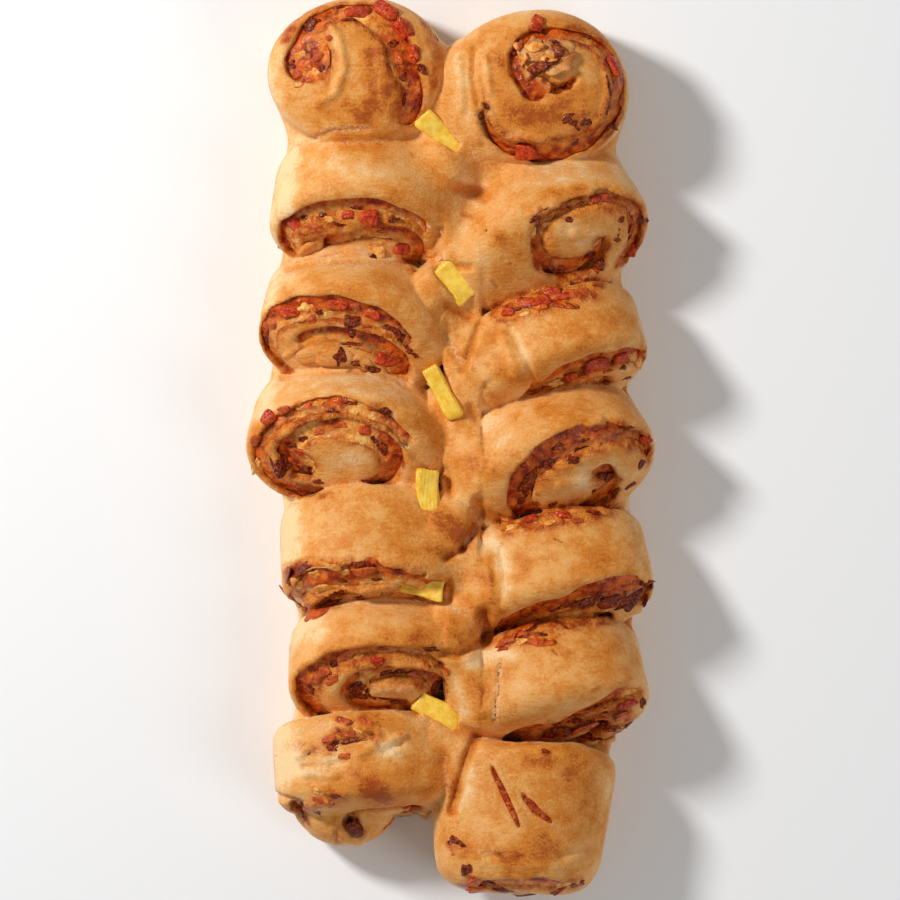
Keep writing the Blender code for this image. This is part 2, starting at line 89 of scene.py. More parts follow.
# Dough
SLICE_BLEND = 1.4  # how softly slices run into each other
LOBE_BLEND, BED_BLEND = 6.0, 7.0  # and lobes and the bed into the slices
FACE_BLEND = 1.5  # how softly a cut face ends in what lies over it
LIP_BLEND = 4.2  # how round the dough's edge over a filling is
BASE_CUT = 1.0  # height at which the slices end and the base crust begins
BASE_INSET = 0.8  # how far the base crust draws in below that height
TURN_IN = 2.0  # how deep a slice's border is turned in before it is closed
REACH = 12.0  # how far round a slice its field is worked out
SLICE_SWELL = 1.05  # about how much wider than its half sizes a slice gets
GRID_MARGIN = 4.0  # of the grid round the loaf
GRID_BELOW = 2.5  # voxels of it under the base cut
OWNED = 90.0  # how far from its middle a slice can own dough
OUTSIDE = 40.0  # value of the field where no slice is near
POCKET_GROW = -0.9  # added to each half size of a chunk, so that its pocket in the dough holds it tight
POCKET_BLEND = 0.8
POCKET_REACH = (18, 18, 40)  # how far round a chunk its pocket is worked out
CLEFT_SLOPE = 0.7  # keeps the field of a cleft near to a distance
CLEFT_BLEND = 1.0
CLEFT_LEAST = 0.1  # shallower parts of a cleft are left out
DOUGH_NOISE = ((24, 0.8, 1), (8, 0.25, 2), (3.2, 0.12, 3))  # size, depth and seed of each layer
CRUMB_SIZE, CRUMB_DEPTH = 3.0, 0.55  # unevenness of torn and stained dough
CRUMB_STEP, CRUMB_SHAPE = 1.25, (160, 360, 60)  # its grid
CRUMB_CORNER = (100, 225, 5)  # from the corner of that grid to the loaf's origin
SETTLE_ROUNDS = 3  # how often stray patches are given away
APEX_HEIGHT = 0.5  # share of its middle's height at which a slice's inner faces meet
RIM_SPAN = 4  # points each way along the rim that give its direction
STROKE_FADE = 0.85  # share of a stroke's radius over which it fades out
SEEN_DEPTH = (-5.0, -2.0)  # from hidden to seen, below the loaf's top

# Colours of the dough
TOAST_LEAST, TOAST_TOP = 0.12, 0.38  # everywhere, and more towards the top
TOAST_HEIGHTS = (8, 50)  # between which it grows
TOAST_CUT = 0.04  # more on the cut faces
CUT_FACING = (0.3, 0.8)  # how squarely dough looks out of a slice where it counts as cut
CUT_DEPTH = (0.4, 0.8)  # and how far out it lies, as shares of the half thickness
CLEFT_SHADE = 0.10  # how much darker the dough is for each millimetre of a cleft's depth
CLEFT_MOST = -6.0  # deepest cleft that this counts
STAIN_REACH, STAIN_INWARD = 2.0, 5.0  # how far from a filling dough is stained, and more towards the eye
STAIN_MOST, STAIN_END = 0.85, 1.1  # strength, and share of that reach where it has faded out
STAIN_HELD = 0.8  # share of the stain towards the eye that melted cheese keeps back
SEAM_REACH, SEAM_PALE = 3.0, 0.25  # paler dough where two slices meet
UP_FADE = (0.05, 0.35)  # from steep sides, which strokes leave alone, to the top
BASE_COLOURS = {"toast_and_painted_light": 0.75, "pale": 0.0, "stain": 0.0, "burn": 0.0}

# Filling
SLOT_DEPTH = 8.0  # of a groove under the face
SLOT_OVER = 3.0  # how far over the face a groove is kept clear
COVER_TRIM = 0.3  # how far a groove keeps off what lies over it
SLOT_ENDS = (-3.0, 13.0)  # x between which no groove of the left or right column runs
FILLING_SINK = 1.0  # how far its top lies below the layer inside it
LIP_SINK = 3.8  # how much lower it lies under the outer lip
FILLING_TUCK = 1.8  # how far the filling is drawn under the dough on each side
FILLING_SPREAD = 1.0  # how much further it runs over the layer inside it
FILLING_DEPTH = 4.0  # its thickness
FILLING_SKIN = 0.7  # how far it really runs into the dough
FILLING_RIM = 2.0  # how far it ends inside the slice's outline
FILLING_UNDER = 1.5  # how far it runs under what lies over it
FILLING_BASE = 0.2  # least height over the base crust
FILLING_NOISE = ((7, 1.0), (3.2, 0.5))  # size and depth of each layer
SCRAP_FACES = 80  # loose scraps of fewer faces are dropped
CHEESE_SIZE, CHEESE_STEP, CHEESE_CELLS = 10.0, 2.0, 60  # patches of melted cheese
CHEESE_MOST, CHEESE_FADE = 0.9, (0.5, 0.9)  # their strength, and the noise over which they set in
INNER_FADE = (-3.5, 1.0)  # distance to a filling's edge over which its pale inner side sets in

# Bed under the slices
BED_LENGTH = 326.0
BED_INSET = 7.0
BED_CORNER = 24.0  # how round its corners are, seen from above
BED_SLOPE = 0.8  # keeps its field near to a distance
VALLEY = (2.0, 4.0)  # its x at the loaf's middle, and how much more at the lower end
VALLEY_HALF_WIDTH = 14.0
VALLEY_HEIGHT, VALLEY_SHOULDER = 40.0, 35.0  # height of the bed there, and where the valley begins
BED_SIDE = 14.0  # its height along its sides
BED_SHOULDER, BED_SHOULDER_INSET = 25.0, 9.0  # its height a little way in, and how far in that is

# Pineapple
CHUNK_ROUND = 1.6  # radius of a chunk's edges
CHUNK_MARGIN = 3.0  # of the grid round a chunk
FIBRES = 4.2  # radians for each millimetre across a chunk
FIBRE_BEND, FIBRE_BEND_SIZE = 4.0, 8  # radians by which they wander, and over which size
FIBRE_DEPTH, FIBRE_PATCH = 0.13, 5  # their height, and the size of patches where they are stronger
FIBRE_TOP = 0.2  # height at which they have their full colour
CHUNK_LUMPS, CHUNK_LUMP_SIZE = 1.4, 7  # unevenness of a chunk

# Seeds of the random draws: the first slice's or chunk's, and the step to the next one's
FILLING_SEED, FILLING_SEED_STEP = 200, 7
BIT_SEED, LUMP_SEED, BIT_SEED_STEP = 1000, 1030, 60
CHUNK_SEED = 500
CRUMB_SEED = 31
CHEESE_SEED = 20  # added to the filling's

# Photograph: millimetres a pixel, and the pixel over the loaf's middle
PIXEL = 0.44
MIDDLE_PIXEL = (451, 449)
PICTURE_SIZE = 900  # its pixels each way

# Setting, in metres and watts; a light has a name, a place, a size and a power
FLOOR_SIZE = 1.5
LIGHTS = (("key", (-1.1, 0.7, 1.1), 0.30, 25), ("fill", (1.1, -0.7, 1.2), 1.0, 6))
LIGHT_TARGET = (0, 0, 0.02)
WORLD_STRENGTH = 0.27
SENSOR = 36  # millimetres
CAMERA_DISTANCE, CAMERA_CLIP = 4.0, 20
CAMERA_FOCUS = 0.03  # height at which the picture is to scale


@dataclass
class Slice:
    """One slice of the log. Its cut face looks along -Y at tilt 0 and straight up at tilt 90."""

    name: str
    centre: tuple  # x, y, z
    half: tuple  # half width, half height across the coil, half thickness along its axis
    yaw: float  # turn of the long axis about +Z
    tilt: float
    eye: tuple  # where the coil's middle sits, as shares of the half width and height
    start: float  # angle at which the filling comes in at the rim, anticlockwise on the cut face
    reach: tuple  # the filling's distance from the eye every KNOT_STEP, 1 at the rim
    width: tuple  # the filling's width there
    dome: float = 3.0  # how far the middle stands out of the cut face
    flare: float = 0.0  # share by which the cut face is wider than the middle
    pit: float = 0.0  # radius of the pool of filling that the coil ends in


@dataclass
class Lobe:
    """A knuckle or tongue of dough that bulges out beside a slice."""

    owner: str  # the slice that it belongs to
    centre: tuple
    half: tuple
    yaw: float


@dataclass
class Chunk:
    """One pineapple chunk, a tapering wedge of a ring."""

    name: str
    centre: tuple
    size: tuple  # length, width, height
    yaw: float
    pitch: float  # how far its narrow end dips
    taper: float  # width of the narrow end over the wide one


SLICES = (
    Slice("left_1", (-41.4, 165.0, 23), (39.5, 33, 25), 0, 92, (-0.50, 0.15), -45,
          (0.88, 0.70, 0.70, 0.77, 0.52, 0.12), (6, 8, 9, 6, 4, 6), 5, 0, 9),
    Slice("right_1", (37.8, 158.8, 23), (41, 34, 25), 0, 90, (0.05, 0.10), -170,
          (0.60, 0.80, 0.88, 0.90, 0.87, 0.76, 0.54, 0.30, 0.17, 0.14),
          (-4, 3, 7, 5, 6, 3, 8, 8, 7, 6), 8, 0, 5),
    Slice("left_2", (-37.4, 109.1, 26), (41.5, 31, 23.5), -2, 42, (-0.05, -0.20), 20,
          (0.70, 0.71, 0.72, 0.80, 0.85, 0.84, 0.74, 0.62, 0.50, 0.34, 0.27, 0.30, 0.36),
          (2, 6, 7, 5, 4, 4, 5, 6, 7, 5, 4, 4, 3), 2, 0.04),
    Slice("right_2", (41.4, 96.8, 25), (42.5, 31, 22), 26, 50, (0.35, -0.05), -45,
          (0.88, 0.92, 0.84, 0.74, 0.50, 0.36, 0.31, 0.26, 0.24, 0.20),
          (8, 6, 4, 3, 5, 7, 8, 6, 4, 3), 3, 0.04),
    Slice("left_3", (-42.2, 57.2, 26), (42, 31, 21), -8, 50, (-0.10, -0.20), 30,
          (0.70, 0.70, 0.77, 0.86, 0.90, 0.88, 0.78, 0.60, 0.44, 0.36, 0.40, 0.48),
          (3, 8, 8, 5, 4, 4, 5, 7, 7, 5, 4, 3), 2, 0.04),
    Slice("right_3", (44.0, 42.2, 25), (42.5, 30, 19), 18, 28, (0.10, -0.10), 0,
          (0.86, 0.68, 0.50, 0.44, 0.50, 0.60, 0.60, 0.50, 0.35),
          (4, 8, 7, 5, 5, 5, 5, 4, 3), 2, 0),
    Slice("left_4", (-45.8, 7.0, 26), (42.5, 31, 21), -3, 56, (-0.28, -0.02), 30,
          (0.78, 0.82, 0.83, 0.84, 0.83, 0.68, 0.60, 0.60, 0.60, 0.58, 0.54, 0.46, 0.32),
          (2, 4, 5, 5, 6, 7, 4, 8, 8, 7, 7, 8, 7), 4, 0.04, 5),
    Slice("right_4", (44.0, -3.5, 25), (44, 31, 21), 24, 46, (0.35, -0.06), -15,
          (0.92, 0.83, 0.75, 0.70, 0.62, 0.60, 0.56, 0.38, 0.17, 0.14),
          (3, 6, 10, 11, 9, 8, 6, 5, 4, 3), 4, 0.04, 3.5),
    Slice("left_5", (-33.0, -45.5, 26), (43, 31, 24.5), 2, 22, (-0.20, -0.10), 30,
          (0.70, 0.82, 0.82, 0.85, 0.85, 0.80, 0.70, 0.60, 0.50, 0.45, 0.46, 0.46),
          (2, 4, 12, 8, 4, 4, 4, 4, 4, 4, 6, 5), 2, 0),
    Slice("right_5", (44.4, -56.3, 25), (43.5, 31, 22), 13, 26, (0.10, -0.10), 0,
          (0.88, 0.72, 0.54, 0.58, 0.62, 0.62, 0.60, 0.50, 0.35),
          (6, 10, 10, 10, 8, 6, 5, 4, 3), 2, 0),
    Slice("left_6", (-30.8, -92.0, 26), (42, 31, 21), 6, 46, (0.10, -0.10), 30,
          (0.72, 0.80, 0.84, 0.84, 0.82, 0.75, 0.65, 0.55, 0.50, 0.49, 0.48, 0.42, 0.30, 0.25),
          (2, 3, 6, 8, 6, 5, 5, 7, 8, 6, 7, 7, 6, 5), 3, 0.04),
    Slice("right_6", (43.1, -104.0, 25), (43, 31, 22), 13, 26, (0.10, -0.10), 20,
          (0.95, 0.42, 0.32, 0.50, 0.58, 0.56, 0.50, 0.42, 0.30),
          (8, 10, 9, 7, 7, 6, 5, 4, 3), 2, 0),
    Slice("left_7", (-37.4, -138.6, 26), (40.5, 31, 20.5), 3, 12, (-0.10, -0.10), 150,
          (0.80, 0.72, 0.60, 0.52, 0.55, 0.56, 0.42, 0.25, 0.12),
          (4, 4, 3, 3, 4, 3, 2, 2, 2), 3, 0),
    Slice("right_7", (30.8, -161.8, 26), (39, 31, 33), -4, 5, (0, -0.10), 30,
          (0.68, 0.68, 0.66, 0.64, 0.60, 0.54, 0.46, 0.38, 0.30),
          (5, 6, 6, 6, 5, 5, 5, 5, 4), 2, -0.10),
)

LOBES = (
    Lobe("right_1", (8, 152, 20), (14, 26, 24), 15),
    Lobe("left_2", (-4, 121, 22), (14, 17, 25), -15),
    Lobe("right_2", (7, 89, 22), (14, 19, 25), 25),
    Lobe("left_3", (-9, 68, 22), (12, 17, 26), -20),
    Lobe("right_3", (12, 36, 24), (12, 17, 24), 15),
    Lobe("right_4", (13, -9, 24), (14, 20, 25), 20),
    Lobe("left_5", (0, -35, 23), (14, 17, 27), 0),
    Lobe("right_5", (12, -54, 24), (11, 18, 26), 10),
    Lobe("left_6", (0, -80, 23), (14, 16, 27), 0),
    Lobe("right_6", (10, -105, 24), (11, 18, 26), 10),
    Lobe("left_7", (-4, -128, 22), (14, 14, 25), 0),
    Lobe("left_7", (-46, -158, 15), (23, 17.5, 18), 0),
)

CHUNKS = (
    Chunk("pineapple_1", (-5, 139, 38), (23, 10, 8), -42, 8, 0.6),
    Chunk("pineapple_2", (1.5, 73, 39), (20, 11, 8), -50, 6, 0.9),
    Chunk("pineapple_3", (-4, 25, 39), (26, 9, 8), -62, 4, 0.8),
    Chunk("pineapple_4", (-10, -18, 42), (18.5, 10, 8), -92, 4, 0.9),
    Chunk("pineapple_5", (-13, -61, 42), (21, 11, 8), 172, 6, 0.5),
    Chunk("pineapple_6", (-6, -115, 38), (22, 10, 8), -30, 4, 0.9),
)


# Fields

def smooth_max(first, second, blend):
    """Larger of two fields, rounded where they meet."""
    share = np.clip(0.5 + 0.5 * (first - second) / blend, 0, 1)
    return second + (first - second) * share + blend * share * (1 - share)


def smooth_min(first, second, blend):
    return -smooth_max(-first, -second, blend)


def smooth_step(value, low, high):
    share = np.clip((value - low) / (high - low), 0, 1)
    return share * share * (3 - 2 * share)


def smooth_values(values, places):
    """Catmull-Rom values at places counted in knots from the first."""
    values = np.asarray(values, float)
    first = np.clip(places.astype(int), 0, len(values) - 2)
    part = places - first
    before, start = values[np.maximum(first - 1, 0)], values[first]
    end, after = values[first + 1], values[np.minimum(first + 2, len(values) - 1)]
    bend = 2 * before - 5 * start + 4 * end - after + part * (3 * (start - end) + after - before)
    return start + part / 2 * (end - before + part * bend)


def axes_of(piece):
    """A slice's own axes as rows: its long axis, up its cut face, out of its cut face."""
    yaw, tilt = math.radians(piece.yaw), math.radians(piece.tilt)
    along = Vector((1, 0, 0))
    up_face = Vector((0, math.sin(tilt), math.cos(tilt)))
    turn = Matrix.Rotation(yaw, 3, "Z")
    return np.array([turn @ along, turn @ up_face, turn @ along.cross(up_face)])


def on_axes(axes, centre, x, y, z):
    """Places as counted from a centre along axes that are given as rows."""
    x, y, z = x - centre[0], y - centre[1], z - centre[2]
    return [a[0] * x + a[1] * y + a[2] * z for a in axes]


def to_local(piece, x, y, z):
    """Places on a slice's own axes."""
    return on_axes(axes_of(piece), piece.centre, x, y, z)


def spread(x, y, z):
    """Rows of coordinates, shaped so that together they span a box."""
    return x[:, None, None], y[None, :, None], z[None, None, :]


def read_cells(picture, i, j):
    """Values of a picture at places counted in its cells."""
    i0, j0 = i.astype(np.int32), j.astype(np.int32)
    i, j = i - i0, j - j0
    flat = picture.ravel()
    start = i0 * picture.shape[1] + j0
    near = flat[start] * (1 - j) + flat[start + 1] * j
    start = start + picture.shape[1]
    far = flat[start] * (1 - j) + flat[start + 1] * j
    return near * (1 - i) + far * i


def unit_rows(rows):
    return rows / np.maximum(np.linalg.norm(rows, axis=1), 1e-9)[:, None]


def rim_share(piece, u, v, n):
    """Share of the way from the coil's axis to the slice's outline."""
    a, b, t = piece.half
    angle = np.arctan2(v / b, u / a)
    phase = piece.centre[1] + piece.centre[0]
    swell = 1 + OUTLINE_TWO * np.cos(2 * angle + phase) + OUTLINE_THREE * np.cos(3 * angle - 2 * phase)
    flare = 1 + piece.flare * np.clip(n / t, -1, 1)
    return np.sqrt((u / a) ** 2 + (v / b) ** 2) / (swell * flare)


def envelope(piece, u, v, n):
    """Distance to the whole slice as if it had no filling."""
    a, b, t = piece.half
    ring = np.sqrt((u / a) ** 2 + (v / b) ** 2) + 1e-6
    rho = rim_share(piece, u, v, n) + 1e-6
    front = smooth_step(n / t, 0.0, 0.5)
    level = np.abs(n - front * piece.dome * np.maximum(1 - rho * rho, 0)) / t + 1e-6
    total = rho**RIM_POWER + level**AXIS_POWER
    value = total ** (1 / RIM_POWER)
    across = RIM_POWER * rho ** (RIM_POWER - 1) * np.sqrt((u / a**2) ** 2 + (v / b**2) ** 2) / ring
    along = AXIS_POWER * level ** (AXIS_POWER - 1) / t
    slope = value / total / RIM_POWER * np.sqrt(across**2 + along**2)
    return np.clip((value - 1) / np.maximum(slope, 1e-3), -OUTSIDE, OUTSIDE)


def lobe_field(lobe, x, y, z):
    """Distance to a lobe."""
    turn = math.radians(lobe.yaw)
    x, y, z = x - lobe.centre[0], y - lobe.centre[1], z - lobe.centre[2]
    a, b, c = lobe.half
    p = np.abs(x * math.cos(turn) + y * math.sin(turn)) / a
    q = np.abs(y * math.cos(turn) - x * math.sin(turn)) / b
    ring = np.sqrt(p * p + q * q)
    value = (ring**LOBE_POWER + np.abs(z / c) ** LOBE_POWER) ** (1 / LOBE_POWER)
    return (value - 1) * min(a, b, c)


def face_height(piece, rho):
    """Height of a slice's cut face over its middle."""
    rho = np.minimum(rho, FACE_EDGE)
    return piece.half[2] * (1 - rho**RIM_POWER) ** (1 / AXIS_POWER) + piece.dome * (1 - rho * rho)


def column_edge(side, y):
    """How far out the slices of one column reach, at a place along the loaf."""
    column = [piece for piece in reversed(SLICES) if piece.centre[0] * side > 0]
    ends = [piece.centre[0] + side * piece.half[0] * math.cos(math.radians(piece.yaw)) for piece in column]
    return np.interp(y, [piece.centre[1] for piece in column], ends)


def bed_field(x, y, z):
    """Dough that joins all slices along the base and fills the valley."""
    share = -y / (BED_LENGTH / 2)
    valley = VALLEY[0] + VALLEY[1] * share
    side = np.where(x < valley, -1, 1)
    left, right = column_edge(-1, y) + BED_INSET, column_edge(1, y) - BED_INSET
    inward = np.where(side < 0, x - left, right - x)
    span = np.where(side < 0, valley - left, right - valley)
    knee = span - VALLEY_HALF_WIDTH
    lower = BED_SIDE + (BED_SHOULDER - BED_SIDE) * np.clip(inward / BED_SHOULDER_INSET, 0, 1)
    slope = (VALLEY_SHOULDER - BED_SHOULDER) / (knee - BED_SHOULDER_INSET)
    middle = slope * np.clip(inward - BED_SHOULDER_INSET, 0, knee - BED_SHOULDER_INSET)
    crest = (VALLEY_HEIGHT - VALLEY_SHOULDER) * np.clip((inward - knee) / VALLEY_HALF_WIDTH, 0, 1)
    top = lower + middle + crest
    ends = np.abs(y) - BED_LENGTH / 2
    return np.maximum(BED_SLOPE * (z - top), smooth_max(-inward, ends, BED_CORNER))


# Noise

def spline_weights(count, scale):
    """Cubic B-spline weights of coarse values at each of count points, scale coarse cells apart."""
    places = np.arange(count) * scale + 1
    cells = int(places[-1]) + 4
    distance = np.abs(places[:, None] - np.arange(cells)[None, :])
    near = 2 / 3 - distance**2 + distance**3 / 2
    far = np.maximum(2 - distance, 0) ** 3 / 6
    return np.where(distance < 1, near, far)


def noise(shape, step, size, seed):
    """Smooth noise of about -1 to 1 on a grid, with lumps of the given size."""
    weights = [spline_weights(count, step / size) for count in shape]
    values = np.random.default_rng(seed).uniform(-2, 2, [w.shape[1] for w in weights])
    for axis, w in enumerate(weights):
        values = np.moveaxis(np.tensordot(w, values, axes=(1, axis)), 0, axis)
    return values.astype(np.float32)


# Coils

def coil_points(piece, places):
    """Middle of the filling on the cut face."""
    angle = np.radians(piece.start + KNOT_STEP * places)
    reach = smooth_values(piece.reach, places)
    a, b, _ = piece.half
    u = a * ((1 - reach) * piece.eye[0] + reach * np.cos(angle))
    v = b * ((1 - reach) * piece.eye[1] + reach * np.sin(angle))
    return u, v


def coil_pictures(piece, u, v):
    """Distance to the filling's edge on a cut face, and its side: 1 towards the eye, -1 towards the rim."""
    a, b, _ = piece.half
    last = len(piece.reach) - 1
    places = np.linspace(0, last, KNOT_PARTS * last + 1)
    halves = smooth_values(piece.width, places) / 2
    gap = np.full((u.size, v.size), OUTSIDE)
    inward = np.zeros_like(gap)
    for cu, cv, half in zip(*coil_points(piece, places), halves):
        here = np.hypot(u - cu, v - cv) - half
        to_eye = np.array((a * piece.eye[0] - cu, b * piece.eye[1] - cv))
        to_eye = to_eye / max(np.hypot(*to_eye), 1)
        side = (u - cu) * to_eye[0] + (v - cv) * to_eye[1]
        inward = np.where(here < gap, side / np.maximum(here + half, 0.5), inward)
        gap = np.minimum(gap, here)
    if piece.pit:
        cu, cv = (float(c[-1]) for c in coil_points(piece, places))
        gap = smooth_min(gap, np.hypot(u - cu, v - cv) - piece.pit, RING_BLEND)
    return gap, inward


class Face:
    """Pictures of a slice's cut face, seen square on: filling's edge, slice's outline, dough's height."""

    def __init__(self, piece, seed):
        a, b, _ = piece.half
        self.low = np.array((-FACE_MARGIN * a, -FACE_MARGIN * b))
        self.u = np.arange(-FACE_MARGIN * a, FACE_MARGIN * a, COIL_STEP)
        self.v = np.arange(-FACE_MARGIN * b, FACE_MARGIN * b, COIL_STEP)
        u, v = self.u[:, None], self.v[None, :]
        gap, inward = coil_pictures(piece, u, v)
        rho = rim_share(piece, u, v, np.full_like(gap, piece.half[2]))
        self.outline = (rho - 1) * min(a, b)
        gap = smooth_max(gap, self.outline + RING_LEAST, RING_BLEND)
        ragged = noise((*gap.shape, 1), COIL_STEP, RAGGED_SIZE, seed)[:, :, 0]
        self.gap = gap + RAGGED_DEPTH * ragged
        self.inward = smooth_step(inward, *INWARD_FADE)
        near = np.clip(1 - gap / SLOPE_REACH, 0, 1)
        self.level = face_height(piece, rho) - SLOPE_DEPTH * self.inward * near * near

    def read(self, picture, u, v):
        """Values of a picture of the face at points on it."""
        i = np.clip((u - self.low[0]) / COIL_STEP, 0, len(self.u) - 1.001)
        j = np.clip((v - self.low[1]) / COIL_STEP, 0, len(self.v) - 1.001)
        return read_cells(picture.astype(np.float32), i, j)

    def slot(self, u, v, n):
        """Distance to the groove that the filling lies in."""
        height = self.read(self.level, u, v)
        gap = self.read(self.gap, u, v)
        return np.maximum(gap, np.maximum(height - SLOT_DEPTH - n, n - height - SLOT_OVER))


# Dough

class Grid:
    """A box of voxels over the loaf, with a field of distance to the dough."""

    def __init__(self, low, high, step):
        self.low, self.step = np.array(low, float), step
        self.shape = tuple(int(math.ceil((h - l) / step)) + 1 for l, h in zip(low, high))
        self.axes = [l + step * np.arange(count) for l, count in zip(low, self.shape)]

    def window(self, centre, reach):
        """Slices of the grid's indices round a point, and the coordinates there."""
        spans = []
        for k in range(3):
            first = max(int((centre[k] - reach[k] - self.low[k]) / self.step), 0)
            last = min(int((centre[k] + reach[k] - self.low[k]) / self.step) + 2, self.shape[k])
            spans.append(slice(first, last))
        x, y, z = (axis[span].astype(np.float32) for axis, span in zip(self.axes, spans))
        return tuple(spans), spread(x, y, z)

    def read(self, field, points):
        """Values of a field at points, one row for each."""
        place = np.clip((points - self.low) / self.step, 0, np.array(self.shape) - 1.001)
        first = place.astype(np.int64)
        part = place - first
        flat = field.ravel()
        strides = (self.shape[1] * self.shape[2], self.shape[2], 1)
        start = first @ np.array(strides)
        total = 0
        for corner in np.ndindex(2, 2, 2):
            weight = np.prod(np.where(corner, part, 1 - part), axis=1)
            total = total + weight * flat[start + np.dot(corner, strides)]
        return total


def reach_of(piece):
    """Half the size of the box round a slice's field."""
    sizes = np.array(piece.half) * (SLICE_SWELL, SLICE_SWELL, 1.0) + (0, 0, piece.dome)
    return np.abs(axes_of(piece).T) @ sizes + REACH


def lobe_reach(lobe):
    return np.full(3, max(lobe.half)) + REACH


def shut(field):
    """Keeps a field's solid clear of its grid's sides, so that its surface is closed."""
    for axis in range(3):
        edge = [slice(None)] * 3
        edge[axis] = [0, -1]
        field[tuple(edge)] = np.maximum(field[tuple(edge)], 1)


def lobes_of(piece):
    return [lobe for lobe in LOBES if lobe.owner == piece.name]


def make_fields(grid, faces):
    """The blended dough with grooves cut in it, and each slice's filling in its own window of the grid."""
    field = np.full(grid.shape, OUTSIDE, np.float32)
    envelopes = {}
    for piece in SLICES:
        window, place = grid.window(piece.centre, reach_of(piece))
        envelopes[piece.name] = envelope(piece, *to_local(piece, *place)).astype(np.float32)
        field[window] = smooth_min(field[window], envelopes[piece.name], SLICE_BLEND)
    for lobe in LOBES:
        window, place = grid.window(lobe.centre, lobe_reach(lobe))
        field[window] = smooth_min(field[window], lobe_field(lobe, *place), LOBE_BLEND)
    bed = bed_field(*spread(*(axis.astype(np.float32) for axis in grid.axes))).astype(np.float32)
    field = smooth_min(field, bed, BED_BLEND).astype(np.float32)
    fillings = cut_grooves(field, grid, faces, envelopes)
    press_pockets(field, grid)
    carve(field, grid, CLEFTS)
    for size, depth, seed in DOUGH_NOISE:
        field += depth * noise(field.shape, grid.step, size, seed)
    shut(field)
    return field, fillings


def cut_grooves(field, grid, faces, envelopes):
    """Cuts the face and groove of each slice where no later slice lies over them. Gives the fillings."""
    cover = np.full(grid.shape, OUTSIDE, np.float32)
    fillings = {}
    for k, piece in reversed(list(enumerate(SLICES))):
        window, place = grid.window(piece.centre, reach_of(piece))
        for lobe in lobes_of(piece):
            near, spot = grid.window(lobe.centre, lobe_reach(lobe))
            cover[near] = np.minimum(cover[near], lobe_field(lobe, *spot))
        u, v, n = to_local(piece, *place)
        face = faces[piece.name]
        side = math.copysign(1, piece.centre[0])
        over = np.minimum(cover[window], side * (place[0] - SLOT_ENDS[side > 0]))
        slope = np.maximum(face.read(face.level, u, v) - n, COVER_TRIM - over)
        slope = np.maximum(slope, face.read(face.outline, u, v))
        field[window] = smooth_max(field[window], -slope, FACE_BLEND)
        slot = np.maximum(face.slot(u, v, n), COVER_TRIM - over)
        field[window] = smooth_max(field[window], -slot, LIP_BLEND)
        seed = FILLING_SEED + FILLING_SEED_STEP * k
        fillings[piece.name] = filling_field(face, u, v, n, over, seed, grid.step)
        cover[window] = np.minimum(cover[window], envelopes[piece.name])
    return fillings


def press_pockets(field, grid):
    """Pockets for the chunks, open to the top."""
    for chunk in CHUNKS:
        window, (x, y, z) = grid.window(chunk.centre, POCKET_REACH)
        pocket = chunk_field(chunk, x, y, np.minimum(z, chunk.centre[2]), POCKET_GROW)
        field[window] = smooth_max(field[window], -pocket, POCKET_BLEND)


def carve(field, grid, table):
    """Lowers the top of the dough along strokes."""
    height = Relief(grid, field).height
    x, y = np.meshgrid(*grid.axes[:2], indexing="ij")
    depth = marks(np.column_stack([x.ravel(), y.ravel()]), table).reshape(height.shape)
    z = grid.axes[2].astype(np.float32)
    deep = depth < -CLEFT_LEAST
    for i in np.flatnonzero(deep.any(axis=1)):
        cut = (z[None, :] - (height[i] + depth[i])[:, None]) * CLEFT_SLOPE
        cut = np.where(deep[i][:, None], cut, -OUTSIDE)
        field[i] = smooth_max(field[i], cut, CLEFT_BLEND)


def filling_field(face, u, v, n, cover, seed, step):
    """The sauce and cheese in one slice's groove, not yet trimmed to the dough."""
    inward = face.read(face.inward, u, v)
    top = face.read(face.level, u, v) - FILLING_SINK - LIP_SINK * (1 - inward)
    for k, (size, depth) in enumerate(FILLING_NOISE):
        top = top + depth * noise(u.shape, step, size, seed + k)
    field = np.maximum(face.read(face.gap, u, v) - FILLING_TUCK - FILLING_SPREAD * inward, n - top)
    field = np.maximum(field, top - FILLING_DEPTH - n)
    field = np.maximum(field, face.read(face.outline, u, v) + FILLING_RIM)
    return np.maximum(field, -cover - FILLING_UNDER).astype(np.float32)


def chunk_field(chunk, x, y, z, grow):
    """Distance to a chunk as a rounded wedge."""
    yaw, pitch = math.radians(chunk.yaw), math.radians(chunk.pitch)
    axes = np.array(Matrix.Rotation(yaw, 3, "Z") @ Matrix.Rotation(pitch, 3, "Y")).T
    p, q, r = on_axes(axes, chunk.centre, x, y, z)
    length, width, height = (size / 2 + grow for size in chunk.size)
    taper = (1 + chunk.taper) / 2 - p / length * (1 - chunk.taper) / 2
    dp = np.abs(p) - length + CHUNK_ROUND
    dq = np.abs(q) - width * taper + CHUNK_ROUND
    dr = np.abs(r) - height + CHUNK_ROUND
    outside = np.sqrt(np.maximum(dp, 0) ** 2 + np.maximum(dq, 0) ** 2 + np.maximum(dr, 0) ** 2)
    return outside + np.minimum(np.maximum(np.maximum(dp, dq), dr), 0) - CHUNK_ROUND


def surface(field, low, step):
    """Points in millimetres and four-sided faces of a field's zero surface."""
    volume = openvdb.FloatGrid(background=OUTSIDE)
    volume.copyFromArray(np.ascontiguousarray(field, np.float32))
    points, quads = volume.convertToQuads()
    return np.asarray(points, np.float64) * step + low, np.asarray(quads, np.int64)


def add_object(name, mesh):
    obj = bpy.data.objects.new(name, mesh)
    bpy.context.scene.collection.objects.link(obj)
    return obj


def add_number(mesh, key, values):
    """Gives each point of a mesh a number."""
    mesh.attributes.new(key, "FLOAT", "POINT").data.foreach_set("value", values.astype(np.float32))


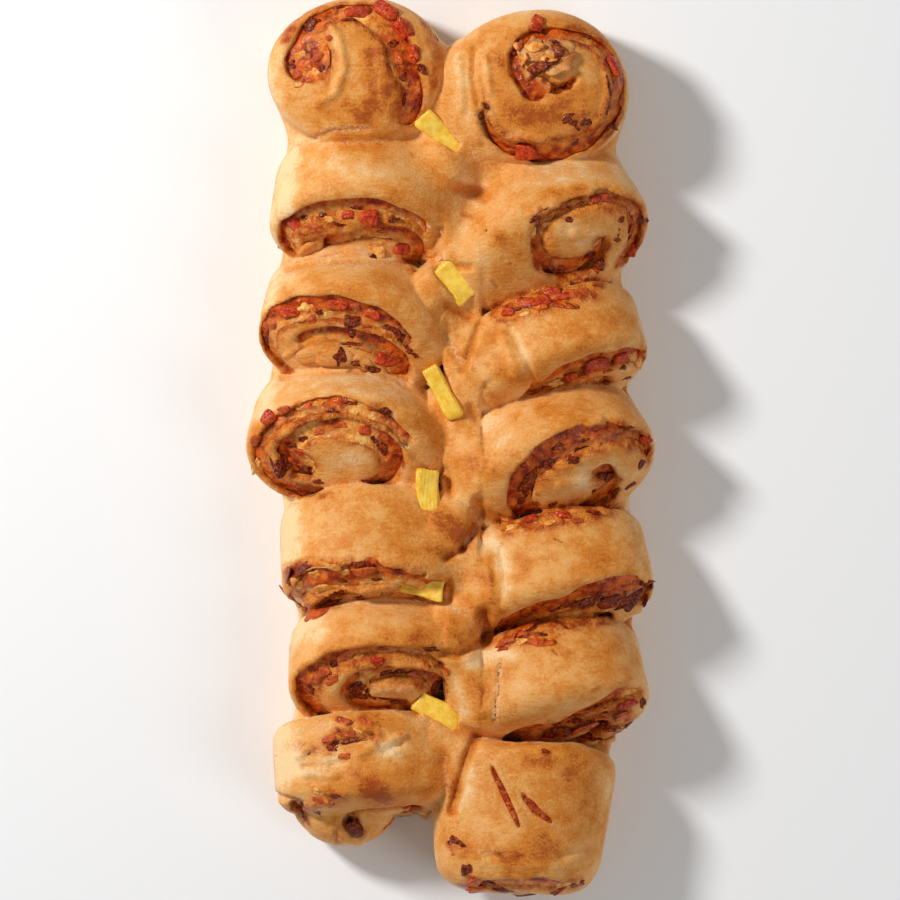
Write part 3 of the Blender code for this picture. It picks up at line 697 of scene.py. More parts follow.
def new_mesh(name, points, quads, triangles=(), attributes=(), normals=None):
    """A smooth mesh object from points in millimetres, with one number a point for each attribute."""
    triangles = np.asarray(triangles, np.int64).reshape(-1, 3)
    mesh = bpy.data.meshes.new(name)
    mesh.vertices.add(len(points))
    mesh.vertices.foreach_set("co", (points * MM).astype(np.float32).ravel())
    corners = np.concatenate([quads.ravel(), triangles.ravel()]).astype(np.int32)
    sizes = np.concatenate([np.full(len(quads), 4), np.full(len(triangles), 3)])
    mesh.loops.add(len(corners))
    mesh.loops.foreach_set("vertex_index", corners)
    mesh.polygons.add(len(sizes))
    mesh.polygons.foreach_set("loop_start", (np.cumsum(sizes) - sizes).astype(np.int32))
    mesh.polygons.foreach_set("use_smooth", np.ones(len(sizes), bool))
    mesh.update(calc_edges=True)
    mesh.validate()
    for key, values in dict(attributes).items():
        add_number(mesh, key, values)
    if normals is not None:
        mesh.normals_split_custom_set_from_vertices(normals)
    return add_object(name, mesh)


def add_piece(obj, look, slot, *replaced):
    """Gives an object its look and its place in the part."""
    obj.data.materials.append(look)
    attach(obj, "root")
    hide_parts(*replaced)


def point_normals(points, quads):
    """Normals of a surface's points, the mean of the faces round each."""
    corners = points[quads]
    facing = np.cross(corners[:, 2] - corners[:, 0], corners[:, 3] - corners[:, 1])
    normals = np.zeros_like(points)
    for k in range(4):
        for axis in range(3):
            normals[:, axis] += np.bincount(quads[:, k], facing[:, axis], len(points))
    return unit_rows(normals)


def owners(points):
    """Which slice each point belongs to, and how near the next slice is there."""
    distances = np.full((len(SLICES), len(points)), OUTSIDE)
    for k, piece in enumerate(SLICES):
        close = np.abs(points - piece.centre).max(axis=1) < OWNED
        x, y, z = points[close].T
        distances[k, close] = envelope(piece, *to_local(piece, x, y, z))
        for lobe in lobes_of(piece):
            distances[k, close] = np.minimum(distances[k, close], lobe_field(lobe, x, y, z))
    order = np.sort(distances, axis=0)
    return distances.argmin(axis=0), order[1]


def linked(count, first, second):
    """A label for each of count things, the same for all that links join."""
    label = np.arange(count)
    while True:
        low = np.minimum(label[first], label[second])
        high = np.maximum(label[first], label[second])
        apart = low != high
        if not apart.any():
            return label
        np.minimum.at(label, high[apart], low[apart])
        while (label[label] != label).any():
            label = label[label]


def largest(labels):
    """Which things have the label that most have."""
    values, counts = np.unique(labels, return_counts=True)
    return labels == values[counts.argmax()]


def quad_edges(quads):
    """Directed edges of quads, as rows, and the quad each belongs to."""
    edges = np.concatenate([quads[:, [k, (k + 1) % 4]] for k in range(4)])
    return edges, np.tile(np.arange(len(quads)), 4)


def edge_pairs(quads):
    """Pairs of quads that share an edge."""
    edges, owner = quad_edges(quads)
    code = np.sort(edges, axis=1) @ np.array([quads.max() + 1, 1])
    order = np.argsort(code, kind="stable")
    same = code[order][1:] == code[order][:-1]
    return owner[order][:-1][same], owner[order][1:][same]


def border(quads):
    """Directed edges that only one quad has."""
    edges, _ = quad_edges(quads)
    size = quads.max() + 1
    codes = edges @ np.array([size, 1])
    return edges[~np.isin(codes, edges[:, ::-1] @ np.array([size, 1]))]


def part_of(points, quads, kept):
    """The part of a surface that some of its quads make."""
    used, quads = np.unique(quads[kept], return_inverse=True)
    return points[used], quads.reshape(-1, 4)


def whole_only(points, quads):
    """The one large surface, without closed bubbles in the dough."""
    return part_of(points, quads, largest(linked(len(quads), *edge_pairs(quads))))


def without_scraps(points, quads, least):
    """A surface without the closed bits that have fewer faces than the least."""
    labels = linked(len(quads), *edge_pairs(quads))
    values, sizes = np.unique(labels, return_counts=True)
    return part_of(points, quads, np.isin(labels, values[sizes >= least]))


def cut_base(points, quads):
    """Drops what is below the base cut and sets the rim that is left on it."""
    quads = quads[(points[quads, 2] > BASE_CUT).any(axis=1)]
    points = points.copy()
    points[:, 2] = np.maximum(points[:, 2], BASE_CUT)
    return points, quads


def settled(quads, owner):
    """Owners with each stray patch given to the slice round it."""
    first, second = edge_pairs(quads)
    for _ in range(SETTLE_ROUNDS):
        same = owner[first] == owner[second]
        label = linked(len(quads), first[same], second[same])
        for k in range(len(SLICES)):
            mine = owner == k
            if mine.any():
                mine[mine] = ~largest(label[mine])
                owner = np.where(mine, -1, owner)
        while (owner < 0).any():
            fill = (owner[first] < 0) & (owner[second] >= 0)
            back = (owner[second] < 0) & (owner[first] >= 0)
            if not (fill.any() or back.any()):
                break
            owner[first[fill]] = owner[second[fill]]
            owner[second[back]] = owner[first[back]]
    return owner


def at_pixel(spot):
    """Place on the loaf, in millimetres, of a pixel of the photograph."""
    return (spot[0] - MIDDLE_PIXEL[0]) * PIXEL, (MIDDLE_PIXEL[1] - spot[1]) * PIXEL


def marks(points, table):
    """Sum at each point of soft strokes, each given by strength, radius in millimetres and pixels."""
    total = np.zeros(len(points))
    for strength, radius, *pixels in table:
        ends = np.array([at_pixel(pixel) for pixel in pixels])
        low, high = ends.min(axis=0) - radius, ends.max(axis=0) + radius
        near = np.flatnonzero(((points[:, :2] > low) & (points[:, :2] < high)).all(axis=1))
        away = np.full(len(near), OUTSIDE)
        for start, end in zip(ends, ends[1:] if len(ends) > 1 else ends):
            along = end - start
            share = (points[near, :2] - start) @ along / max(along @ along, 1e-9)
            nearest = start + np.clip(share, 0, 1)[:, None] * along
            away = np.minimum(away, np.hypot(*(points[near, :2] - nearest).T))
        total[near] += strength * smooth_step(1 - away / radius, 0, STROKE_FADE)
    return total


class Relief:
    """Height of the loaf's top, seen from above."""

    def __init__(self, grid, field):
        last = field.shape[2] - 2 - (field[:, :, -2::-1] < 0).argmax(axis=2)
        i, j = np.indices(last.shape)
        below, above = field[i, j, last], field[i, j, last + 1]
        share = np.where(below < 0, below / np.minimum(below - above, -1e-6), 0)
        self.height = grid.low[2] + grid.step * (last + share)
        self.height[(field > 0).all(axis=2)] = 0
        self.low, self.step = grid.low, grid.step

    def read(self, x, y):
        """Height of the top at places on the loaf."""
        i = np.clip((np.asarray(x) - self.low[0]) / self.step, 0, self.height.shape[0] - 1.01)
        j = np.clip((np.asarray(y) - self.low[1]) / self.step, 0, self.height.shape[1] - 1.01)
        return read_cells(self.height, i, j)

    def seen(self, points):
        """Share of 1 where a point is at the top, 0 where dough lies over it."""
        return smooth_step(points[:, 2] - self.read(points[:, 0], points[:, 1]), *SEEN_DEPTH)

    def lift(self, points):
        """Raises the top to points that lie over it."""
        i, j = np.round((points[:, :2] - self.low[:2]) / self.step).astype(int).T
        for a, b in np.ndindex(3, 3):
            np.maximum.at(self.height, (i + a - 1, j + b - 1), points[:, 2])

    def upward(self, x, y, reach):
        """Direction that the top faces at a place."""
        dx = self.read(x + reach, y) - self.read(x - reach, y)
        dy = self.read(x, y + reach) - self.read(x, y - reach)
        return Vector((-dx, -dy, 2 * reach)).normalized()


# Colours

def linear(red, green, blue):
    """A display colour of 0 to 255 as scene-linear values."""
    values = [c / 255 for c in (red, green, blue)]
    return tuple(c / 12.92 if c <= 0.04045 else ((c + 0.055) / 1.055) ** 2.4 for c in values) + (1.0,)


# Crust from the palest to the brownest, and the levels of toast, with painted light and shade, between them
CRUST = (linear(240, 202, 148), linear(230, 164, 90), linear(214, 130, 46), linear(168, 78, 20))
CRUST_LEVELS = ((-0.2, 0.30), (0.25, 0.70), (0.65, 1.10))
CRUMB = linear(244, 210, 164)
CRUST_GLAZE = (linear(174, 66, 14), linear(230, 138, 50))
CRUST_BURNT = linear(86, 26, 8)
SAUCE = (linear(146, 34, 8), linear(220, 98, 24))
SAUCE_LIGHT, SAUCE_DEEP = linear(238, 150, 50), linear(88, 20, 4)
MELTED = (linear(226, 128, 40), linear(248, 192, 104))
MEAT = (linear(158, 28, 10), linear(212, 78, 40))
CHAR = (linear(82, 20, 6), linear(166, 64, 16))
FRUIT = (linear(238, 182, 38), linear(250, 214, 90))
FRUIT_FIBRE = linear(228, 162, 28)
FLOOR = linear(246, 246, 246)


class Look:
    """A material under construction, with short ways to add its nodes."""

    def __init__(self, name, roughness, gloss=0.5):
        self.material = bpy.data.materials.new(name)
        self.material.use_nodes = True
        self.tree = self.material.node_tree
        self.shader = self.tree.nodes["Principled BSDF"]
        self.shader.inputs["Roughness"].default_value = roughness
        self.shader.inputs["Specular IOR Level"].default_value = gloss
        self.place = self.tree.nodes.new("ShaderNodeTexCoord").outputs["Object"]

    def join(self, source, target):
        """Links an output to an input, or sets the input to a number or colour."""
        if hasattr(source, "node"):
            self.tree.links.new(source, target)
        else:
            target.default_value = source

    def attribute(self, key):
        node = self.tree.nodes.new("ShaderNodeAttribute")
        node.attribute_name = key
        return node.outputs["Fac"]

    def noise(self, size, detail=3.0, rough=0.5, stretch=None):
        """Noise of 0 to 1 with lumps of a size in millimetres, drawn out along the axes by a stretch."""
        node = self.tree.nodes.new("ShaderNodeTexNoise")
        place = self.place
        if stretch:
            squeeze = self.tree.nodes.new("ShaderNodeVectorMath")
            squeeze.operation = "DIVIDE"
            self.join(place, squeeze.inputs[0])
            squeeze.inputs[1].default_value = stretch
            place = squeeze.outputs["Vector"]
        self.join(place, node.inputs["Vector"])
        node.inputs["Scale"].default_value = 1 / (size * MM)
        node.inputs["Detail"].default_value = detail
        node.inputs["Roughness"].default_value = rough
        return node.outputs["Fac"]

    def math(self, operation, first, second=0.0, clamp=False):
        node = self.tree.nodes.new("ShaderNodeMath")
        node.operation = operation
        node.use_clamp = clamp
        self.join(first, node.inputs[0])
        self.join(second, node.inputs[1])
        return node.outputs[0]

    def band(self, value, low, high, bottom=0.0, top=1.0):
        """Value turned from low..high into bottom..top, smoothly."""
        node = self.tree.nodes.new("ShaderNodeMapRange")
        node.interpolation_type = "SMOOTHSTEP"
        self.join(value, node.inputs["Value"])
        for key, number in (("From Min", low), ("From Max", high), ("To Min", bottom), ("To Max", top)):
            node.inputs[key].default_value = number
        return node.outputs["Result"]

    def spots(self, size, low, high, bottom=0.0, top=1.0, detail=3.0, rough=0.5):
        """Noise of a size in millimetres, turned from low..high into bottom..top."""
        return self.band(self.noise(size, detail, rough), low, high, bottom, top)

    def mottle(self, colours, size, low, high, detail=3.0, rough=0.5):
        """Two colours in patches of a size in millimetres."""
        return self.mix(self.spots(size, low, high, 0.0, 1.0, detail, rough), *colours)

    def mix(self, share, first, second):
        node = self.tree.nodes.new("ShaderNodeMix")
        node.data_type = "RGBA"
        self.join(share, node.inputs[0])
        self.join(first, node.inputs[6])
        self.join(second, node.inputs[7])
        return node.outputs[2]

    def finish(self, colour, roughness=None, relief=()):
        """Sets colour, roughness and bumps, given by height and depth in millimetres."""
        self.join(colour, self.shader.inputs["Base Color"])
        if roughness is not None:
            self.join(roughness, self.shader.inputs["Roughness"])
        normal = None
        for height, depth in relief:
            node = self.tree.nodes.new("ShaderNodeBump")
            node.inputs["Distance"].default_value = depth * MM
            self.join(height, node.inputs["Height"])
            if normal is not None:
                self.join(normal, node.inputs["Normal"])
            normal = node.outputs["Normal"]
        if normal is not None:
            self.join(normal, self.shader.inputs["Normal"])
        return self.material


def crust_look():
    """Crust by how toasted it is, with painted shade in the clefts and by the valley and painted highlight
    on the ends that face the key light, crumb where it is torn, sauce baked on to it and burnt spots.
    """
    look = Look("crust", 0.55, 0.18)
    level = look.attribute("toast_and_painted_light")
    uneven = (
        (look.noise(9, 4, 0.6), -0.22, 0.20),
        (look.noise(1.1, 3, 0.65), -0.13, 0.13),
        (look.noise(1.3, 3, 0.6, (4, 1, 1)), -0.06, 0.06),
    )
    for patches, paler, browner in uneven:
        level = look.math("ADD", level, look.band(patches, 0.3, 0.7, paler, browner))
    colour = CRUST[0]
    for (low, high), browner in zip(CRUST_LEVELS, CRUST[1:]):
        colour = look.mix(look.band(level, low, high), colour, browner)
    torn = look.spots(1.6, 0.42, 0.60, 0.0, 0.9, rough=0.6)
    torn = look.math("MULTIPLY", look.attribute("pale"), torn, True)
    colour = look.mix(torn, colour, CRUMB)
    stained = look.math("MULTIPLY", look.attribute("stain"), look.spots(3.5, 0.3, 0.62, 0.5, 1.5), True)
    colour = look.mix(stained, colour, look.mottle(CRUST_GLAZE, 5, 0.34, 0.66))
    burnt = look.band(look.math("ADD", look.attribute("burn"), look.noise(1.8, 3, 0.6)), 0.80, 1.20)
    colour = look.mix(burnt, colour, CRUST_BURNT)
    oil = look.spots(1.5, 0.60, 0.70, 0.0, 0.3, detail=2)
    roughness = look.math("SUBTRACT", look.band(stained, 0.0, 0.7, 0.52, 0.20), oil, True)
    pores = look.noise(1.0, 3, 0.6)
    folds = look.noise(1.6, 3, 0.55, (3.5, 1, 1))
    crumb = look.math("MULTIPLY", look.noise(0.9, 2, 0.6), look.math("ADD", torn, stained))
    return look.finish(colour, roughness, ((pores, 0.28), (folds, 0.40), (crumb, 1.0)))


def filling_look():
    """Sauce in uneven reds, melted cheese, browned ham and burnt edges."""
    look = Look("filling", 0.25, 0.24)
    sauce = look.mottle(SAUCE, 5, 0.34, 0.66)
    sauce = look.mix(look.spots(3.2, 0.52, 0.70, 0.0, 0.5), sauce, SAUCE_LIGHT)
    sauce = look.mix(look.spots(4.1, 0.55, 0.75, 0.0, 0.8), sauce, SAUCE_DEEP)
    colour = look.mix(look.attribute("cheese"), sauce, look.mottle(MELTED, 2.6, 0.32, 0.68))
    bare = look.math("MULTIPLY", look.attribute("ham"), look.spots(2.6, 0.38, 0.56, 0.35, 1.0, rough=0.6))
    colour = look.mix(bare, colour, look.mottle(MEAT, 1.4, 0.35, 0.65, rough=0.6))
    scorched = look.band(look.math("ADD", look.attribute("burn"), look.noise(1.8, 3, 0.6)), 0.85, 1.15)
    colour = look.mix(scorched, colour, look.mottle(CHAR, 1.2, 0.4, 0.7, 2, 0.6))
    roughness = look.spots(2.4, 0.40, 0.62, 0.10, 0.26, detail=2)
    return look.finish(colour, roughness, ((look.noise(2.2, 2, 0.5), 0.9), (look.noise(1.0, 2, 0.5), 0.4)))


def pineapple_look():
    """Yellow fruit, darker along its fibres."""
    look = Look("pineapple", 0.32)
    fibre = look.math("MULTIPLY", look.attribute("fibre"), 0.4)
    colour = look.mix(fibre, look.mottle(FRUIT, 3, 0.3, 0.7, rough=0.6), FRUIT_FIBRE)
    return look.finish(colour, relief=((look.noise(0.6, 2, 0.5), 0.15),))


# The loaf

# Strokes over the dough: rows of a strength, a radius in millimetres and the pixels that they run through

# Browner crust, or paler where negative. Partly real toasting and partly painted light: painted highlight
# on the outer ends and sides that face the key light, painted shade on the ends by the valley.
TOAST_LIGHT_AND_SHADE = (
    (0.46, 9, (375, 60), (385, 95), (365, 115)), (-0.30, 9, (275, 60), (272, 110)),
    (0.20, 8, (320, 110), (345, 110)), (-0.20, 4, (330, 30), (343, 60), (335, 95)),
    (0.25, 6, (290, 20), (270, 50)), (0.25, 10, (530, 115), (590, 105)), (0.30, 7, (495, 60), (508, 120)),
    (-0.30, 5, (460, 60), (466, 120)), (-0.25, 5, (486, 70), (489, 120)), (0.25, 8, (560, 25), (600, 35)),
    (0.25, 7, (620, 110), (600, 145)), (-0.45, 10, (285, 160), (283, 235)),
    (0.25, 7, (345, 142), (400, 142)), (0.20, 8, (400, 195), (435, 215)),
    (-0.15, 12, (330, 170), (370, 180)), (-0.25, 9, (470, 185), (465, 240), (480, 280)),
    (0.25, 6, (465, 208), (475, 225)), (0.25, 5, (545, 196), (580, 192)), (0.25, 5, (500, 242), (520, 254)),
    (-0.20, 9, (580, 170), (540, 178)), (-0.20, 8, (565, 230), (600, 245)),
    (-0.35, 8, (268, 275), (268, 300)), (0.15, 9, (340, 278), (400, 285)),
    (-0.20, 6, (320, 266), (390, 266)), (0.30, 6, (265, 318), (258, 345)),
    (0.25, 5, (500, 332), (480, 350), (460, 360)), (0.25, 6, (500, 372), (540, 384)),
    (0.20, 12, (570, 325), (620, 320)), (-0.25, 3, (512, 330), (520, 346), (526, 362)),
    (0.20, 7, (555, 352), (600, 358)), (-0.35, 9, (262, 385), (262, 410)),
    (-0.15, 9, (300, 380), (390, 385)), (0.25, 8, (420, 420), (440, 440)),
    (0.35, 7, (254, 430), (262, 468)), (-0.25, 8, (330, 460), (360, 460)),
    (0.25, 6, (462, 462), (498, 470)), (0.15, 12, (560, 412), (620, 405)),
    (0.30, 5, (540, 412), (556, 410)), (-0.20, 9, (480, 410), (500, 440)),
    (-0.30, 9, (580, 480), (620, 470)), (-0.50, 12, (285, 505), (288, 545)),
    (0.20, 16, (410, 530), (455, 540)), (0.35, 8, (440, 510), (468, 545)),
    (0.15, 8, (380, 552), (440, 555)), (0.20, 8, (300, 592), (290, 580)), (0.25, 7, (485, 565), (490, 595)),
    (-0.35, 5, (502, 552), (504, 598)), (-0.45, 7, (465, 552), (490, 545)),
    (0.20, 6, (520, 555), (525, 575)), (0.20, 14, (600, 560), (620, 555)),
    (0.25, 6, (465, 600), (500, 607)), (-0.40, 12, (295, 630), (310, 625)),
    (0.30, 14, (430, 635), (465, 625)), (0.20, 8, (330, 650), (420, 640)),
    (0.35, 6, (305, 665), (300, 690)), (-0.15, 8, (340, 690), (350, 695)),
    (-0.45, 6, (470, 660), (510, 652)), (0.30, 8, (475, 680), (482, 715)),
    (-0.30, 4, (455, 680), (466, 715)), (0.20, 14, (590, 640), (620, 660)),
    (-0.10, 9, (520, 690), (560, 700)), (-0.50, 12, (285, 735), (287, 765)),
    (0.25, 14, (380, 780), (430, 785)), (0.20, 9, (330, 790), (400, 800)),
    (0.30, 6, (370, 716), (400, 722)), (0.25, 6, (440, 750), (455, 790)),
    (-0.30, 4, (392, 745), (400, 760)), (0.20, 10, (320, 830), (380, 845)),
    (0.25, 12, (360, 775), (375, 800)), (0.20, 9, (345, 712), (370, 716)), (0.30, 9, (580, 30), (612, 60)),
    (0.30, 10, (530, 125), (590, 125)), (0.30, 7, (618, 90), (600, 150)),
    (0.20, 12, (500, 620), (512, 640)), (-0.35, 10, (330, 755), (300, 765)),
    (-0.30, 7, (385, 748), (405, 742)), (0.35, 12, (530, 750), (590, 760)),
    (0.25, 12, (560, 830), (520, 865)), (-0.25, 7, (470, 770), (462, 800)),
    (0.25, 14, (570, 790), (600, 830)), (0.30, 5, (505, 855), (520, 857)),
    (0.20, 6, (450, 835), (470, 850)),
)

# Torn, unbaked dough and crumb
TORN = (
    (0.75, 1.8, (300, 144), (330, 131), (368, 129)), (0.52, 1.5, (275, 152), (300, 144)),
    (0.6, 1.1, (414, 213), (428, 228), (440, 232)), (0.45, 1.4, (320, 264), (390, 264)),
    (0.45, 1.8, (442, 330), (455, 352), (462, 362)), (0.3, 1.8, (470, 140), (475, 158)),
    (0.38, 1.5, (512, 328), (519, 345), (526, 362)), (0.45, 1.7, (405, 444), (430, 470), (438, 488)),
    (0.45, 1.5, (455, 500), (470, 505)), (0.52, 1.7, (446, 606), (466, 612)),
    (0.38, 1.5, (500, 560), (506, 600)), (0.45, 2.8, (382, 690), (412, 690)),
    (0.38, 2.1, (404, 712), (430, 722)), (0.52, 2.1, (385, 742), (402, 756)),
    (0.45, 2.8, (305, 772), (335, 766)), (0.45, 2.1, (330, 722), (300, 730)),
    (0.6, 1.8, (500, 662), (497, 690), (494, 718)), (0.38, 1.5, (478, 850), (500, 848)),
    (0.38, 1.4, (550, 822), (565, 828)), (0.3, 2.1, (590, 480), (615, 470)),
    (0.38, 1, (484, 108), (494, 132), (512, 142), (545, 143)),
    (0.3, 1.1, (532, 214), (560, 207), (590, 193)), (0.38, 1.1, (596, 586), (640, 574)),
    (0.38, 1.1, (560, 716), (640, 694)), (0.3, 1, (600, 352), (645, 349)),
)

# Sauce baked on to the dough
STAINED = (
    (0.8, 4, (285, 40), (305, 15), (345, 8)), (0.7, 5, (300, 70), (318, 75)),
    (0.6, 4, (425, 25), (438, 60), (432, 90)), (0.5, 5, (370, 90), (385, 80)),
    (0.7, 3, (385, 50), (396, 90), (392, 118)), (0.8, 4, (560, 147), (600, 140), (625, 115)),
    (0.7, 3, (610, 70), (618, 110)), (0.7, 3, (545, 90), (567, 88)), (0.6, 3, (520, 60), (545, 75)),
    (0.7, 3, (530, 30), (600, 40)), (1.0, 6, (298, 228), (345, 220), (400, 226)),
    (0.5, 4, (300, 238), (395, 236)), (0.8, 2.4, (345, 210), (376, 208)),
    (0.8, 4, (630, 205), (638, 240), (632, 285)), (0.8, 5, (545, 268), (600, 262)),
    (0.6, 3, (540, 212), (615, 200)), (1.3, 8.5, (502, 312), (548, 299), (592, 288)),
    (0.4, 2, (462, 215), (470, 218)), (0.7, 1.2, (508, 263)), (0.5, 2, (285, 292)),
    (1.0, 6, (272, 325), (300, 316), (345, 314), (395, 335)), (0.6, 4, (380, 345), (395, 370)),
    (0.5, 2.4, (345, 343), (368, 343)), (0.8, 4, (560, 380), (600, 366), (640, 357)),
    (0.6, 3, (560, 386), (610, 378)), (0.6, 3, (645, 330), (644, 355)),
    (0.9, 5, (262, 445), (270, 424), (300, 410), (380, 410)),
    (0.7, 4, (275, 455), (310, 432), (345, 425), (385, 445)), (0.8, 3, (280, 492), (330, 496)),
    (0.5, 3, (355, 430), (372, 436)), (0.8, 4, (520, 500), (522, 470), (560, 445), (620, 425)),
    (0.8, 3, (615, 425), (650, 450)), (0.6, 3, (600, 478), (620, 480)),
    (1.2, 9, (508, 522), (560, 515), (605, 506)), (0.7, 2, (600, 508), (618, 490)),
    (0.8, 4, (285, 575), (300, 565), (350, 562)), (0.7, 5, (362, 572), (380, 570)),
    (0.8, 4, (310, 605), (335, 604)), (0.4, 4, (390, 570), (420, 565)), (0.6, 3, (300, 598), (330, 600)),
    (1.2, 6, (560, 606), (640, 594)), (1.3, 9, (506, 632), (545, 630)), (1.1, 6, (545, 627), (605, 616)),
    (0.5, 3, (560, 620), (590, 612)), (0.8, 4, (300, 690), (320, 665), (350, 652)),
    (0.6, 4, (360, 662), (385, 660)), (0.8, 3, (352, 690), (375, 672), (420, 672)),
    (0.7, 2.4, (360, 700), (400, 701)), (0.5, 3, (425, 650), (435, 650)),
    (1.0, 7, (535, 735), (580, 722), (625, 715)), (1.0, 5, (600, 735), (628, 730)),
    (0.6, 3, (610, 705), (640, 700)), (0.4, 1.6, (590, 688), (603, 684)), (0.4, 3, (550, 645), (565, 652)),
    (0.3, 4, (600, 635), (615, 640)), (0.8, 5, (330, 740), (350, 725)), (0.6, 6, (365, 720), (375, 735)),
    (0.5, 4, (300, 745), (330, 750)), (0.6, 5, (310, 805), (330, 800)), (0.5, 5, (360, 770), (380, 780)),
    (0.5, 4, (330, 790), (345, 792)), (0.6, 2.6, (335, 832), (340, 840)),
    (0.5, 2.4, (414, 814), (420, 824)), (0.4, 2, (400, 732), (406, 736)),
    (0.9, 1.8, (491, 766), (504, 792), (518, 822)), (1.0, 1.8, (523, 793), (534, 810), (549, 818)),
    (0.8, 1.6, (538, 750), (548, 751)), (0.8, 3, (450, 843), (462, 850)), (0.6, 2, (495, 851), (522, 853)),
    (0.7, 4, (470, 875), (500, 893), (530, 898)), (0.7, 4, (555, 885), (578, 880)),
)

# Burnt spots and edges
BURNT = (
    (0.7, 1.2, (268, 92), (272, 98)), (0.6, 1.0, (436, 36), (438, 42)), (0.6, 1.4, (506, 40)),
    (0.7, 2.4, (483, 106), (488, 110)), (0.8, 2.0, (545, 90), (556, 92), (568, 86)),
    (0.6, 1.2, (560, 33), (585, 38), (601, 50), (608, 62)), (0.7, 1.2, (606, 78), (611, 100), (606, 116)),
    (0.6, 1.4, (575, 143)), (0.6, 1.4, (612, 127)), (0.8, 1.4, (486, 232)), (0.6, 1.0, (508, 262)),
    (0.5, 0.9, (493, 283), (497, 288)), (0.6, 1.2, (619, 230), (617, 243)), (0.4, 1.0, (543, 345)),
    (0.4, 1.0, (562, 357)), (0.5, 1.2, (264, 335), (270, 352)), (0.7, 2.2, (602, 470), (612, 482)),
    (0.4, 1.4, (575, 445)), (0.5, 1.4, (553, 538), (562, 542)), (0.4, 1.2, (498, 540), (503, 544)),
    (0.5, 1.6, (550, 648), (556, 653)), (0.5, 1.2, (537, 712)), (0.8, 1.8, (610, 614)),
    (0.6, 1.6, (556, 620), (568, 628)), (0.6, 1.4, (472, 538)),
    (0.5, 1.2, (589, 689), (597, 686), (603, 684)),
    (0.5, 1.0, (500, 668), (497, 679), (499, 688), (495, 700), (495, 715)), (0.6, 1.2, (276, 755)),
    (0.4, 1.4, (287, 724)), (0.6, 1.6, (335, 741), (352, 739)), (0.9, 3.6, (350, 822), (356, 834)),
    (0.9, 2.2, (416, 819), (419, 823)), (0.5, 1.2, (491, 766), (504, 792), (518, 822)),
    (0.6, 1.2, (523, 793), (534, 810), (549, 818)), (0.6, 1.8, (452, 840), (459, 842)),
    (0.6, 1.4, (500, 886), (532, 899)),
)

# Clefts between slices; strength is a height in millimetres, so all are negative. They also darken the
# crust along them as painted shade.
CLEFTS = (
    (-5.0, 3.0, (540, 82), (548, 90), (562, 90), (572, 82)),
    (-3.5, 2.8, (485, 116), (493, 138), (508, 151), (530, 156)), (-5.0, 4.5, (458, 188), (484, 196)),
    (-2.5, 2.6, (440, 232), (430, 250)), (-2.5, 2.6, (436, 268), (470, 268)),
    (-5.0, 4.5, (478, 502), (475, 528), (464, 547)), (-4.0, 3.0, (462, 549), (446, 557)),
    (-4.5, 4.0, (482, 512), (502, 522)), (-5.5, 5.0, (484, 614), (488, 640)),
    (-3.5, 3.0, (480, 640), (458, 654), (442, 652)),
    (-4.2, 3.6, (476, 738), (466, 758), (458, 790), (452, 810)),
    (-2.4, 3.0, (458, 727), (484, 735), (508, 742)), (-5.0, 3.0, (404, 706), (416, 712)),
    (-3.0, 1.8, (398, 581), (424, 574)), (-3.5, 3.0, (448, 580), (450, 600)),
    (-3.0, 3.0, (446, 470), (452, 494)), (-2.5, 2.6, (462, 372), (480, 325)),
    (-3.0, 3.0, (470, 408), (478, 420)), (-3.0, 3.0, (446, 305), (470, 318)),
    (-2.8, 1.8, (288, 270), (312, 265), (345, 263), (390, 264), (434, 262)),
    (-2.4, 1.8, (282, 377), (315, 374), (365, 373)),
)

